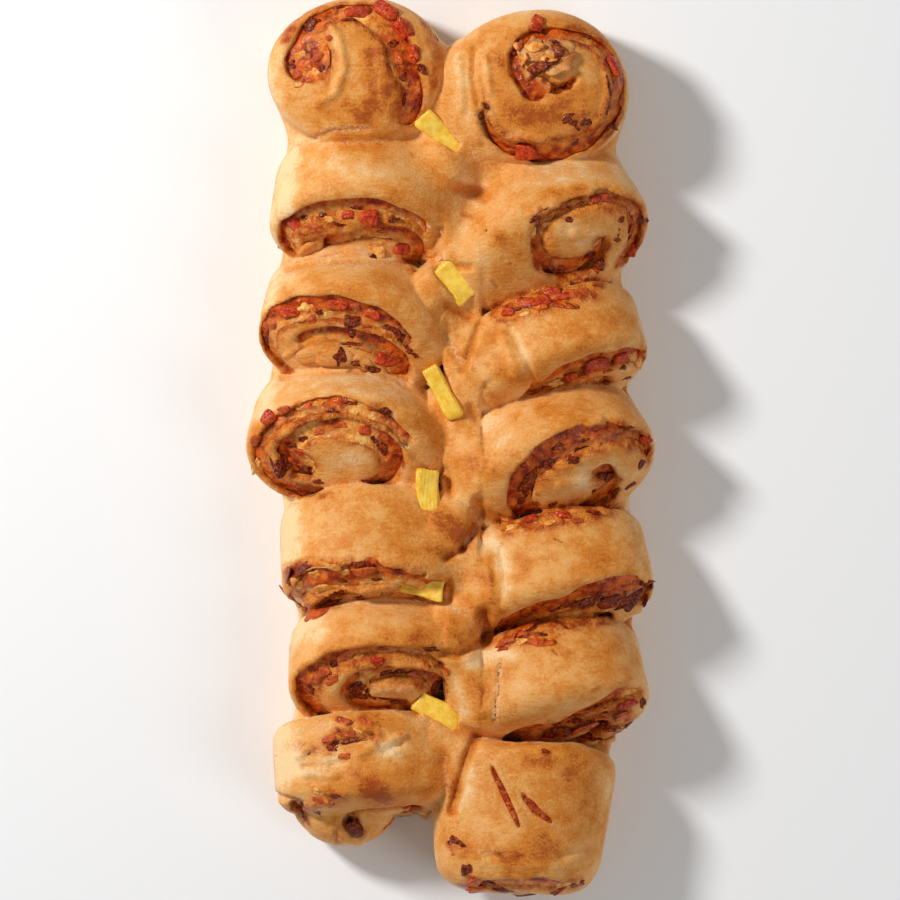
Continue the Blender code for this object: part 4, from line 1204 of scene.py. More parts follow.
# Folds, and creases where negative; strength is their height in millimetres
FOLDS = (
    (1.6, 3.0, (322, 18), (340, 40), (345, 70), (336, 95), (318, 106)), (-1.2, 2.4, (331, 45), (330, 85)),
    (-1.6, 3.0, (300, 60), (318, 72)), (1.0, 4.0, (380, 50), (385, 95)),
    (-1.2, 2.0, (300, 143), (335, 133), (368, 131)),
    (1.6, 2.4, (590, 44), (602, 62), (608, 90), (602, 118), (588, 134)), (1.4, 3.0, (459, 60), (462, 110)),
    (-1.8, 2.2, (474, 50), (473, 82), (478, 105)), (1.4, 2.4, (486, 60), (490, 95)),
    (-1.4, 3.0, (480, 118), (488, 135)), (2.0, 2.4, (486, 106), (496, 128), (508, 138), (545, 140)),
    (-2.4, 1.8, (484, 116), (494, 140), (510, 150), (540, 152)),
    (-3.4, 2.2, (544, 88), (556, 92), (568, 87)), (1.8, 4.0, (525, 60), (555, 58)),
    (-1.2, 1.4, (560, 33), (586, 38), (602, 50), (608, 64)), (1.0, 1.6, (290, 238), (296, 256)),
    (-1.2, 2.2, (305, 245), (325, 238), (400, 238)), (1.0, 2.4, (300, 232), (395, 230)),
    (-1.4, 1.6, (403, 213), (420, 222), (438, 231)), (-2.0, 1.2, (486, 232)),
    (-1.0, 1.0, (493, 282), (498, 288)), (1.4, 2.2, (530, 216), (560, 209), (590, 195), (617, 202)),
    (-1.6, 1.8, (535, 222), (560, 214), (590, 204)), (-2.4, 3.0, (548, 268), (598, 262)),
    (1.2, 4.0, (575, 235), (602, 240)), (-1.2, 2.0, (630, 215), (633, 270)),
    (-2.0, 2.0, (345, 343), (368, 344)), (1.6, 3.0, (312, 352), (340, 354)),
    (1.0, 1.8, (285, 356), (310, 340), (345, 337), (385, 350)),
    (-1.8, 3.0, (440, 332), (452, 350), (460, 362)),
    (-1.4, 2.2, (511, 328), (518, 345), (528, 364), (532, 384)),
    (1.4, 3.0, (502, 335), (508, 352), (516, 374)),
    (1.2, 2.0, (540, 380), (585, 360), (612, 350), (642, 348)),
    (-2.2, 2.2, (545, 388), (585, 370), (612, 360), (640, 358)), (1.0, 3.0, (465, 365), (490, 400)),
    (1.2, 1.8, (262, 470), (275, 440), (310, 418), (350, 415), (385, 428)),
    (-1.4, 2.0, (280, 450), (310, 432), (345, 425), (375, 438)),
    (-1.6, 2.4, (405, 446), (428, 470), (438, 488)),
    (1.4, 2.2, (512, 492), (514, 470), (528, 456), (560, 438), (600, 420)),
    (-2.4, 3.0, (526, 495), (530, 472), (560, 452), (592, 440)),
    (-1.4, 1.6, (608, 424), (640, 438), (646, 452)), (1.6, 4.0, (560, 485), (610, 478)),
    (-1.6, 1.8, (594, 492), (608, 500), (618, 490)), (-1.2, 2.0, (500, 548), (503, 575), (500, 604)),
    (1.2, 3.0, (488, 552), (490, 598)), (1.2, 1.6, (285, 563), (310, 555), (350, 556)),
    (-1.8, 3.0, (290, 572), (330, 570), (360, 568)), (1.0, 1.6, (300, 605), (340, 596), (400, 584)),
    (-1.6, 1.6, (330, 603), (400, 589)), (1.0, 1.4, (530, 606), (590, 592), (645, 575)),
    (-2.2, 3.0, (560, 608), (640, 596)), (1.2, 1.6, (540, 630), (600, 620), (640, 610)),
    (-1.4, 2.4, (500, 622), (545, 616)), (1.2, 1.8, (300, 668), (330, 648), (370, 641), (430, 643)),
    (-1.8, 2.6, (305, 685), (320, 664), (350, 652)), (-2.4, 3.2, (355, 688), (366, 692)),
    (1.4, 1.8, (375, 668), (400, 664), (432, 667)), (-1.8, 1.8, (368, 680), (395, 672), (425, 674)),
    (1.6, 3.0, (380, 688), (412, 688)), (-1.8, 2.0, (370, 700), (405, 702)),
    (-1.3, 1.3, (501, 660), (497, 679), (499, 688), (494, 702), (494, 720)),
    (0.8, 2.6, (487, 670), (485, 712)), (1.2, 1.4, (530, 728), (580, 712), (640, 694)),
    (-2.4, 4.0, (545, 732), (590, 722), (622, 714)), (1.0, 1.4, (540, 745), (600, 744), (628, 738)),
    (1.6, 3.0, (335, 724), (348, 728)), (-2.0, 1.8, (335, 742), (355, 738), (372, 733)),
    (1.4, 3.0, (360, 724), (368, 728)), (1.4, 2.6, (375, 745), (360, 752)),
    (-1.2, 2.2, (385, 750), (402, 742)), (1.4, 2.6, (392, 738), (404, 734)),
    (-1.4, 2.0, (304, 766), (330, 764), (345, 760)), (1.2, 2.6, (308, 772), (335, 774)),
    (1.6, 3.0, (300, 755), (310, 745)), (-2.4, 2.4, (276, 796), (300, 802)),
    (1.6, 3.0, (308, 806), (330, 802)), (-4.5, 4.4, (350, 822), (356, 833)),
    (1.0, 2.0, (338, 820), (342, 838), (358, 845), (368, 830)), (-1.2, 1.8, (340, 820), (335, 842)),
    (1.4, 2.2, (404, 806), (424, 812), (426, 824)), (-1.6, 2.0, (414, 818), (420, 823)),
    (-1.6, 1.7, (491, 766), (504, 792), (518, 823)), (0.7, 1.6, (497, 764), (510, 790), (524, 820)),
    (-1.6, 1.7, (523, 793), (534, 810), (549, 818)), (0.7, 1.6, (528, 789), (542, 806), (555, 814)),
    (-0.8, 3.0, (485, 852), (520, 855)), (-1.0, 2.4, (560, 855), (590, 845)),
    (1.2, 3.0, (454, 842), (460, 852)),
)


@dataclass
class Kind:
    """What a bit is made of and how it is shaped."""

    height: float  # over its smaller width
    power: float  # how boxy it is
    wobble: float  # how uneven it is
    lean: float  # radians
    proud: float  # share of half its height by which its middle stands over the loaf's top
    ham: float = 0.0
    cheese: float = 0.0
    burn: float = 0.0
    waves: int = 6  # how many ripples run over it, and how short they get


KINDS = {
    "ham": Kind(0.70, 3.6, 0.06, 0.4, -0.15, ham=1.0),
    "shred": Kind(0.40, 2.6, 0.11, 0.4, -0.1, ham=0.6, cheese=0.2),
    "burnt": Kind(0.40, 2.3, 0.14, 0.4, -0.3, burn=1.0),
    "char": Kind(0.35, 2.3, 0.14, 0.4, -0.3, burn=0.6),
    "cheese": Kind(0.35, 2.2, 0.14, 0.4, -0.25, cheese=0.9),
    "glaze": Kind(0.30, 2.2, 0.10, 0.2, -0.1),
    "scar": Kind(0.55, 2.4, 0.06, 0.1, -0.5, ham=0.35, burn=0.45),
    "dough": Kind(0.60, 2.6, 0.05, 0.2, 0.1, waves=4),
    "crumb": Kind(0.45, 2.4, 0.10, 0.3, -0.1, waves=7),
}
BIT_STEPS = 7
LUMP_STEPS = 18
LUMP_COLOURS = {
    "dough": {"toast_and_painted_light": 0.30, "pale": 0.0, "stain": 0.22, "burn": 0.0},
    "crumb": {"toast_and_painted_light": 0.25, "pale": 0.1, "stain": 0.42, "burn": 0.27},
}
BIT_LEAST = 10.0  # least height of the loaf under a bit
BIT_SLOPE = 2.0  # how far round a bit the slope under it is measured
WAVE_LEAST = 1.5  # longest ripple, in radians over half a bit
FULL_TURN = 6.3

# Bits in and on the filling of each slice: kind, pixel, length and width in pixels, turn in degrees
BITS = {
    "left_1": (
        ("ham", (357, 13), 25, 13, 8), ("ham", (387, 12), 26, 14, -32), ("ham", (402, 32), 22, 18, -60),
        ("ham", (414, 58), 20, 13, 80), ("burnt", (422, 71), 13, 9, -60),
        ("burnt", (311, 27), 17, 13, 30), ("burnt", (349, 21), 16, 7, -10),
        ("burnt", (393, 46), 10, 8, 0), ("char", (404, 78), 12, 9, 60), ("cheese", (300, 58), 11, 7, 20),
        ("cheese", (316, 74), 10, 7, -30), ("shred", (319, 58), 11, 8, 40), ("shred", (298, 76), 9, 7, 0),
        ("burnt", (292, 66), 8, 6, 70), ("char", (322, 70), 8, 6, 90), ("char", (405, 100), 10, 7, 80),
        ("shred", (399, 62), 9, 7, 70), ("cheese", (300, 86), 8, 5, 0), ("burnt", (340, 9), 9, 6, 10),
        ("shred", (330, 40), 7, 5, 0),
    ),
    "right_1": (
        ("char", (545, 66), 26, 9, 20), ("char", (557, 52), 18, 8, -50), ("ham", (526, 152), 22, 19, 6),
        ("ham", (537, 25), 15, 12, 80), ("ham", (614, 67), 21, 15, -70),
        ("cheese", (533, 51), 15, 10, 20), ("cheese", (523, 62), 12, 9, 80),
        ("burnt", (541, 69), 22, 10, 35), ("burnt", (558, 57), 9, 7, 0), ("burnt", (554, 44), 9, 6, -30),
        ("cheese", (550, 60), 12, 8, 0), ("burnt", (567, 121), 15, 7, 30),
        ("burnt", (574, 126), 12, 6, -50), ("burnt", (584, 124), 12, 8, 10),
        ("char", (600, 115), 10, 5, 40), ("char", (610, 88), 16, 6, 85), ("char", (608, 108), 12, 5, 75),
        ("shred", (520, 48), 9, 6, 60), ("burnt", (512, 56), 7, 5, 60), ("shred", (622, 100), 12, 8, 80),
        ("burnt", (575, 143), 9, 6, 10), ("char", (612, 128), 9, 6, 0), ("char", (585, 37), 12, 4, -15),
    ),
    "left_2": (
        ("cheese", (377, 250), 20, 18, 80), ("ham", (295, 224), 15, 13, 40),
        ("ham", (286, 242), 22, 10, 75), ("ham", (369, 219), 20, 17, -12), ("ham", (349, 216), 11, 9, 0),
        ("burnt", (340, 227), 10, 8, 0), ("burnt", (394, 222), 10, 9, 30),
        ("burnt", (323, 216), 9, 6, 20), ("shred", (314, 226), 13, 8, 10),
        ("shred", (383, 232), 10, 6, 0), ("cheese", (330, 221), 10, 6, 0),
        ("ham", (402, 249), 18, 12, -20), ("cheese", (378, 246), 15, 8, 0),
        ("burnt", (374, 257), 6, 5, 0), ("cheese", (305, 232), 9, 6, 0), ("char", (357, 209), 16, 5, 5),
        ("burnt", (305, 219), 6, 5, 0), ("shred", (358, 229), 9, 6, 30),
    ),
    "right_2": (
        ("ham", (599, 200), 22, 9, 8), ("burnt", (538, 218), 19, 9, 30),
        ("cheese", (534, 233), 13, 11, 0), ("cheese", (545, 226), 9, 6, 0),
        ("char", (574, 206), 18, 6, 10), ("burnt", (568, 221), 7, 6, 0), ("char", (581, 237), 8, 6, 0),
        ("char", (550, 267), 22, 8, -10), ("burnt", (590, 256), 14, 9, 20),
        ("char", (600, 266), 12, 8, 60), ("shred", (570, 270), 14, 7, 0), ("burnt", (641, 217), 10, 9, 0),
        ("burnt", (617, 241), 7, 6, 0), ("burnt", (621, 219), 8, 7, 0), ("ham", (622, 277), 16, 13, 20),
        ("ham", (631, 250), 16, 11, 85), ("shred", (632, 230), 12, 8, 80),
        ("shred", (620, 262), 12, 8, 60), ("ham", (508, 313), 14, 10, 0), ("ham", (540, 303), 22, 11, 18),
        ("ham", (563, 297), 15, 9, 10), ("burnt", (514, 306), 5, 4, 0), ("burnt", (525, 308), 5, 4, 0),
        ("cheese", (553, 292), 12, 6, 15), ("cheese", (524, 314), 10, 6, 0),
        ("shred", (580, 293), 14, 7, 20), ("char", (597, 286), 10, 5, 20),
    ),
    "left_3": (
        ("ham", (290, 313), 21, 13, 10), ("ham", (338, 305), 22, 10, 0), ("ham", (373, 315), 15, 10, -20),
        ("burnt", (352, 324), 18, 16, 60), ("burnt", (391, 331), 20, 13, -50),
        ("burnt", (340, 357), 13, 11, 80), ("burnt", (407, 348), 10, 7, -40),
        ("burnt", (356, 364), 8, 6, 0), ("burnt", (320, 312), 8, 6, 0), ("ham", (386, 361), 21, 13, -25),
        ("char", (376, 371), 22, 6, -5), ("char", (268, 338), 16, 6, 70),
        ("shred", (272, 323), 12, 9, 40), ("cheese", (306, 308), 12, 8, 0),
        ("cheese", (328, 315), 9, 6, 0), ("shred", (312, 320), 10, 7, 30),
        ("shred", (366, 328), 10, 7, 0), ("char", (400, 338), 10, 7, -50), ("shred", (356, 307), 9, 7, 0),
        ("char", (415, 355), 9, 5, -50), ("char", (355, 344), 18, 4, 0),
    ),
    "right_3": (
        ("ham", (552, 291), 18, 12, -20), ("glaze", (530, 304), 28, 13, -15),
        ("shred", (572, 297), 20, 10, -10), ("char", (514, 309), 14, 7, -20),
        ("glaze", (560, 305), 30, 9, -14), ("ham", (596, 365), 25, 14, 12),
        ("ham", (620, 358), 16, 12, 5), ("burnt", (623, 368), 10, 7, 0), ("burnt", (628, 377), 8, 6, 0),
        ("cheese", (639, 363), 16, 13, 60), ("ham", (571, 377), 13, 8, 20),
        ("cheese", (556, 384), 13, 7, 20), ("shred", (607, 372), 12, 6, 10),
        ("shred", (584, 377), 12, 6, 10), ("ham", (641, 352), 9, 7, 30),
        ("cheese", (610, 379), 16, 8, 10), ("glaze", (545, 390), 14, 6, 25),
        ("shred", (630, 352), 10, 6, 0), ("burnt", (648, 340), 8, 5, 80),
    ),
    "left_4": (
        ("burnt", (283, 460), 27, 22, 60), ("burnt", (305, 470), 17, 13, 0),
        ("burnt", (305, 438), 10, 7, 0), ("ham", (365, 430), 12, 9, 0), ("char", (382, 449), 18, 12, -60),
        ("char", (366, 480), 9, 7, 0), ("ham", (268, 418), 15, 12, 50), ("shred", (285, 411), 13, 8, 20),
        ("burnt", (332, 410), 11, 7, 0), ("char", (352, 404), 14, 5, 0),
        ("burnt", (385, 411), 14, 8, -20), ("cheese", (355, 413), 14, 8, 0),
        ("cheese", (320, 404), 15, 6, 5), ("cheese", (259, 467), 22, 11, 70),
        ("shred", (340, 424), 13, 7, 0), ("char", (300, 491), 32, 8, -8),
        ("shred", (320, 432), 11, 7, 20), ("ham", (300, 452), 10, 8, 0), ("burnt", (292, 446), 8, 6, 0),
        ("shred", (256, 440), 12, 7, 70), ("cheese", (300, 408), 9, 6, 20),
        ("shred", (372, 410), 9, 6, 0), ("burnt", (375, 440), 8, 6, -40), ("char", (318, 482), 12, 7, 0),
    ),
    "right_4": (
        ("char", (530, 480), 30, 13, 80), ("burnt", (548, 462), 20, 10, 30),
        ("burnt", (572, 459), 17, 11, 10), ("char", (558, 446), 14, 7, 25),
        ("char", (585, 440), 14, 7, 20), ("burnt", (608, 477), 23, 17, 20),
        ("shred", (543, 470), 12, 7, 40), ("cheese", (515, 527), 15, 8, 0),
        ("ham", (531, 519), 13, 9, 20), ("ham", (562, 514), 14, 9, 0), ("char", (590, 511), 14, 7, 15),
        ("cheese", (548, 522), 12, 6, 0), ("ham", (645, 440), 14, 11, 70),
        ("burnt", (640, 464), 10, 7, 80), ("burnt", (630, 486), 12, 7, 50),
        ("char", (615, 493), 12, 5, 50), ("shred", (650, 452), 12, 7, 80),
        ("shred", (577, 520), 12, 6, 0), ("burnt", (522, 500), 12, 8, 70),
        ("cheese", (505, 518), 10, 6, 0), ("burnt", (553, 503), 12, 6, 20),
        ("char", (628, 428), 12, 6, -20), ("shred", (602, 432), 12, 6, 10),
    ),
    "left_5": (
        ("char", (288, 576), 20, 14, 60), ("char", (303, 567), 20, 8, 20),
        ("cheese", (316, 574), 15, 10, 0), ("cheese", (334, 567), 17, 9, 5),
        ("cheese", (326, 587), 19, 9, 15), ("cheese", (301, 584), 14, 10, 80),
        ("burnt", (301, 581), 10, 5, 80), ("burnt", (343, 580), 9, 8, 0), ("char", (341, 592), 14, 5, 10),
        ("shred", (315, 582), 12, 6, 0), ("shred", (362, 572), 22, 12, 10),
        ("burnt", (376, 579), 9, 5, 0), ("char", (358, 564), 14, 6, 0), ("burnt", (361, 597), 9, 7, 60),
        ("shred", (318, 612), 30, 17, -12), ("shred", (284, 592), 15, 6, 70),
        ("char", (330, 602), 26, 7, 8), ("cheese", (345, 572), 10, 7, 0), ("char", (372, 566), 10, 6, 0),
        ("shred", (355, 583), 10, 7, 0),
    ),
    "right_5": (
        ("char", (588, 601), 24, 11, 8), ("char", (610, 600), 22, 13, 4),
        ("burnt", (630, 598), 20, 14, 10), ("char", (646, 600), 12, 10, 70),
        ("char", (640, 582), 20, 10, 15), ("shred", (620, 588), 20, 7, 10),
        ("burnt", (600, 592), 14, 6, 10), ("char", (568, 603), 18, 8, 8), ("burnt", (612, 615), 5, 5, 0),
        ("cheese", (513, 641), 18, 7, -5), ("shred", (508, 629), 13, 9, 30),
        ("shred", (524, 632), 13, 10, 0), ("ham", (503, 648), 11, 4, -2), ("burnt", (541, 634), 9, 6, 20),
        ("shred", (532, 640), 12, 6, 0), ("char", (553, 609), 12, 5, 10),
        ("burnt", (652, 584), 10, 8, 60), ("burnt", (622, 606), 14, 6, 0),
        ("shred", (640, 609), 12, 6, 20), ("char", (563, 624), 18, 6, -30),
    ),
    "left_6": (
        ("shred", (322, 671), 19, 12, 60), ("shred", (332, 680), 15, 10, 30),
        ("burnt", (335, 664), 10, 8, 30), ("ham", (378, 661), 13, 10, 0),
        ("burnt", (430, 649), 12, 6, -10), ("burnt", (359, 688), 21, 16, 70),
        ("burnt", (437, 686), 16, 9, 70), ("burnt", (396, 701), 17, 5, 0),
        ("shred", (415, 675), 15, 8, -20), ("char", (312, 690), 16, 8, 70),
        ("shred", (344, 655), 11, 8, 40), ("char", (320, 656), 14, 6, 40),
        ("cheese", (360, 655), 12, 6, 10), ("burnt", (385, 672), 12, 5, 10),
        ("char", (400, 670), 12, 5, 5), ("shred", (316, 680), 12, 7, 60),
        ("burnt", (372, 696), 12, 6, -30), ("char", (302, 686), 14, 5, 75),
        ("shred", (382, 648), 10, 5, 5), ("shred", (368, 644), 8, 5, 5),
    ),
    "right_6": (
        ("glaze", (520, 628), 30, 14, -8), ("glaze", (540, 640), 26, 12, -12),
        ("shred", (506, 640), 18, 12, 20), ("burnt", (591, 709), 34, 8, 6),
        ("burnt", (572, 715), 13, 6, 15), ("burnt", (557, 724), 9, 7, 0), ("ham", (627, 703), 20, 9, 12),
        ("burnt", (643, 702), 12, 10, 60), ("char", (560, 732), 26, 9, 8),
        ("shred", (585, 728), 22, 10, 8), ("char", (608, 728), 22, 12, 4),
        ("shred", (620, 716), 14, 10, 20), ("char", (590, 738), 26, 7, 2),
        ("burnt", (622, 734), 16, 8, 10), ("shred", (545, 738), 16, 7, 0),
        ("char", (632, 722), 18, 6, 85), ("shred", (600, 718), 14, 7, 8), ("char", (575, 721), 14, 6, 10),
        ("cheese", (612, 738), 14, 6, 0),
    ),
    "left_7": (
        ("shred", (340, 722), 17, 14, 40), ("shred", (348, 731), 12, 9, 0),
        ("shred", (366, 722), 15, 9, -30), ("cheese", (359, 728), 13, 8, -30),
        ("shred", (346, 725), 9, 6, 0), ("char", (350, 739), 22, 4, 12), ("char", (309, 748), 10, 7, 60),
        ("burnt", (311, 806), 16, 10, 0), ("burnt", (328, 803), 13, 11, 30),
        ("char", (301, 813), 11, 5, -20), ("burnt", (356, 831), 20, 13, -70),
        ("burnt", (417, 820), 12, 10, -20), ("shred", (330, 738), 12, 8, 20),
        ("char", (332, 746), 10, 6, 0), ("shred", (345, 754), 10, 6, 0), ("shred", (320, 798), 12, 8, 0),
        ("cheese", (318, 790), 12, 7, 0), ("char", (336, 795), 10, 7, 20),
        ("shred", (388, 825), 14, 4, 5),
    ),
    "right_7": (
        ("char", (456, 841), 17, 9, -10), ("shred", (456, 850), 15, 8, 0),
        ("burnt", (467, 868), 12, 10, 30), ("shred", (479, 888), 24, 15, -20),
        ("burnt", (490, 881), 20, 10, -30), ("burnt", (506, 891), 22, 9, -25),
        ("burnt", (524, 895), 18, 6, -20), ("shred", (474, 880), 16, 12, 60),
        ("cheese", (563, 883), 22, 10, 15), ("burnt", (577, 883), 16, 7, 70),
        ("char", (558, 890), 18, 6, 10), ("char", (543, 750), 10, 5, 0), ("scar", (505, 794), 62, 7, -64),
        ("scar", (536, 807), 34, 8, -44), ("shred", (500, 895), 20, 8, -5),
    ),
}

# Lumps of dough in the openings: kind, pixel, length and width in pixels, turn in degrees
LUMPS = {
    "left_2": (
        ("dough", (307, 249), 26, 11, 62), ("dough", (332, 252), 44, 16, 5),
        ("dough", (360, 252), 32, 14, -4),
    ),
    "left_3": (
        ("dough", (308, 356), 26, 16, 20), ("dough", (334, 357), 46, 19, 2),
        ("dough", (362, 362), 22, 14, -20),
    ),
    "right_1": (
        ("crumb", (547, 62), 48, 30, -12), ("crumb", (529, 52), 28, 20, 40),
        ("crumb", (563, 56), 32, 24, -30), ("crumb", (528, 68), 26, 18, 10),
    ),
}


# How much of the filling's colour turns pale towards the layer inside it
INNER_PALE = {
    "left_1": 0.2, "right_1": 0.35, "left_2": 0.75, "right_2": 0.35, "left_3": 0.55, "right_3": 0.55,
    "left_4": 0.4, "right_4": 0.25, "left_5": 0.9, "right_5": 0.25, "left_6": 0.5, "right_6": 0.15,
    "left_7": 0.6, "right_7": 0.5,
}


def dough_colours(points, normals, faces, owner, gap_to_next, seen):
    """Numbers at each point that colour the crust."""
    count = len(points)
    stain, cut = np.zeros(count), np.zeros(count)
    for k, piece in enumerate(SLICES):
        mine = owner == k
        u, v, n = to_local(piece, *points[mine].T)
        face = faces[piece.name]
        slot = face.slot(u, v, n)
        inward = face.read(face.inward, u, v)
        reach = STAIN_REACH + STAIN_INWARD * inward * (1 - STAIN_HELD * INNER_PALE[piece.name])
        stain[mine] = STAIN_MOST * smooth_step(STAIN_END - slot / reach, 0, 1)
        facing = smooth_step(normals[mine] @ axes_of(piece)[2], *CUT_FACING)
        cut[mine] = facing * smooth_step(n, *(share * piece.half[2] for share in CUT_DEPTH))
    z = points[:, 2]
    up = np.clip(normals[:, 2], 0, 1)
    seen = seen * smooth_step(up, *UP_FADE)
    toast_and_painted_light = TOAST_LEAST + TOAST_TOP * smooth_step(z, *TOAST_HEIGHTS) * up + TOAST_CUT * cut
    # partly painted light: besides real toasting, the strokes make the ends that face the key light paler
    # and the shaded ends by the valley browner
    toast_and_painted_light = toast_and_painted_light + seen * marks(points, TOAST_LIGHT_AND_SHADE)
    # painted shade: the crust is darkened along the clefts, where shade falls
    toast_and_painted_light = toast_and_painted_light - CLEFT_SHADE * seen * np.maximum(marks(points, CLEFTS), CLEFT_MOST)
    pale = smooth_step(SEAM_REACH - gap_to_next, 0, SEAM_REACH) * SEAM_PALE
    return {
        "toast_and_painted_light": toast_and_painted_light,
        "pale": np.clip(pale * (1 - stain) + seen * marks(points, TORN), 0, 1),
        "stain": np.clip(stain + seen * marks(points, STAINED), 0, 1),
        "burn": np.clip(seen * marks(points, BURNT), 0, 1),
    }


def sculpted(points, normals, seen):
    """Dough points moved by the creases, folds and rough patches of the tables."""
    rough = seen * np.clip(marks(points, STAINED) + marks(points, TORN), 0, 1)
    crumb = noise(CRUMB_SHAPE, CRUMB_STEP, CRUMB_SIZE, CRUMB_SEED)
    place = np.clip((points + CRUMB_CORNER) / CRUMB_STEP, 0, np.array(CRUMB_SHAPE) - 2).astype(int)
    height = seen * marks(points, FOLDS) + CRUMB_DEPTH * rough * crumb[tuple(place.T)]
    return points + height[:, None] * normals


def add_dough(grid, field, faces, relief, look):
    """The dough, meshed as one and then shared out to its slices, and the base crust."""
    points, quads = surface(field, grid.low, grid.step)
    points, quads = whole_only(points, quads)
    nearest, gap = owners(points)
    seen = relief.seen(points)
    points = sculpted(points, point_normals(points, quads), seen)
    points, quads = cut_base(points, quads)
    normals = point_normals(points, quads)
    owner = settled(quads, nearest[quads[:, 0]])
    colours = dough_colours(points, normals, faces, nearest, gap, seen)
    for k, piece in enumerate(SLICES):
        add_slice(piece, points, quads[owner == k], normals, colours, look)
    add_base(points, quads, look)


def add_slice(piece, points, quads, normals, colours, look):
    """A slice's share of the dough, closed by faces that turn in at its border and meet inside."""
    used, inner = np.unique(quads, return_inverse=True)
    inner = inner.reshape(-1, 4)
    edges = border(inner)
    rim = np.unique(edges)
    turned = np.full(len(used), -1)
    turned[rim] = len(used) + np.arange(len(rim))
    below = points[used[rim]] - TURN_IN * normals[used[rim]]
    below[:, 2] = np.maximum(below[:, 2], BASE_CUT)
    apex = len(used) + len(rim)
    start, end = edges[:, 0], edges[:, 1]
    sides = np.column_stack([end, start, turned[start], turned[end]])
    fan = np.column_stack([turned[end], turned[start], np.full(len(edges), apex)])
    middle = np.array([piece.centre[0], piece.centre[1], piece.centre[2] * APEX_HEIGHT])
    corners = np.vstack([points[used], below, middle])
    facing = np.vstack([normals[used], normals[used[rim]], (0, 0, -1)])
    rest = np.zeros(len(rim) + 1)
    values = {key: np.append(number[used], rest) for key, number in colours.items()}
    obj = new_mesh("dough_" + piece.name, corners, np.vstack([inner, sides]), fan, values, facing)
    add_piece(obj, look, "crust", "bread")


def add_base(points, quads, look):
    """The flat bottom crust, whose rim follows the dough's."""
    rim = border(quads)
    follow = dict(rim.tolist())
    first = int(rim[0, 0])
    loop = [first]
    while follow[loop[-1]] != first:
        loop.append(follow[loop[-1]])
    outline = points[loop]
    count = len(outline)
    along = np.roll(outline, -RIM_SPAN, axis=0) - np.roll(outline, RIM_SPAN, axis=0)
    outward = unit_rows(np.column_stack([along[:, 1], -along[:, 0]]))
    lower = outline - np.column_stack([outward * BASE_INSET, np.zeros(count)])
    lower[:, 2] = 0
    corners = np.vstack([outline, lower])
    k = np.arange(count)
    after = (k + 1) % count
    sides = np.column_stack([k + count, after + count, after, k])
    mesh = bpy.data.meshes.new("dough_base")
    top = list(range(count))
    bottom = list(range(count, 2 * count))[::-1]
    mesh.from_pydata((corners * MM).tolist(), [], sides.tolist() + [top, bottom])
    mesh.validate()
    for key, value in BASE_COLOURS.items():
        add_number(mesh, key, np.full(2 * count, value))
    add_piece(add_object("dough_base", mesh), look, "crust", "bread")


def trimmed(grid, dough, fillings):
    """The fillings without what lies in the dough, and the field of dough and fillings together."""
    whole = dough.copy()
    kept = {}
    for piece in SLICES:
        window, _ = grid.window(piece.centre, reach_of(piece))
        kept[piece.name] = np.maximum(fillings[piece.name], -dough[window] - FILLING_SKIN)
        whole[window] = np.minimum(whole[window], kept[piece.name])
        shut(kept[piece.name])
    return kept, whole


def add_filling(piece, face, grid, field, look, seed):
    """The sauce and cheese between the dough layers of one slice."""
    window, _ = grid.window(piece.centre, reach_of(piece))
    low = np.array([axis[span][0] for axis, span in zip(grid.axes, window)])
    points, quads = surface(field, low, grid.step)
    points, quads = without_scraps(points, quads, SCRAP_FACES)
    points[:, 2] = np.maximum(points[:, 2], BASE_CUT + FILLING_BASE)
    u, v, _ = to_local(piece, *points.T)
    inward = face.read(face.inward, u, v) * smooth_step(face.read(face.gap, u, v), *INNER_FADE)
    soft = noise((CHEESE_CELLS, CHEESE_CELLS, 1), CHEESE_STEP, CHEESE_SIZE, seed + CHEESE_SEED)[:, :, 0]
    half = CHEESE_CELLS * CHEESE_STEP / 2
    i, j = (np.clip(((c + half) / CHEESE_STEP).astype(int), 0, CHEESE_CELLS - 1) for c in (u, v))
    cheese = CHEESE_MOST * smooth_step(soft[i, j], *CHEESE_FADE) + INNER_PALE[piece.name] * inward
    none = np.zeros(len(points))
    colours = {"ham": none, "cheese": np.clip(cheese, 0, 1), "burn": none}
    obj = new_mesh("filling_piece_" + piece.name, points, quads, (), colours)
    add_piece(obj, look, "filling", "filling_" + piece.name)


def lattice(count):
    """Points of a cube's surface, count steps to a side, and its four-sided faces."""
    side = np.arange(count + 1)
    grid = np.stack(np.meshgrid(side, side, side, indexing="ij"), axis=-1).reshape(-1, 3)
    skin = np.flatnonzero(((grid == 0) | (grid == count)).any(axis=1))
    number = np.full(len(grid), -1)
    number[skin] = np.arange(len(skin))
    number = number.reshape((count + 1,) * 3)
    quads = []
    for axis in range(3):
        for end in (0, count):
            sheet = np.take(number, end, axis=axis)
            faces = [sheet[:-1, :-1], sheet[1:, :-1], sheet[1:, 1:], sheet[:-1, 1:]]
            rows = np.stack(faces, axis=-1).reshape(-1, 4)
            quads.append(rows if (end > 0) != (axis == 1) else rows[:, ::-1])
    return grid[skin] * 2 / count - 1, np.vstack(quads)


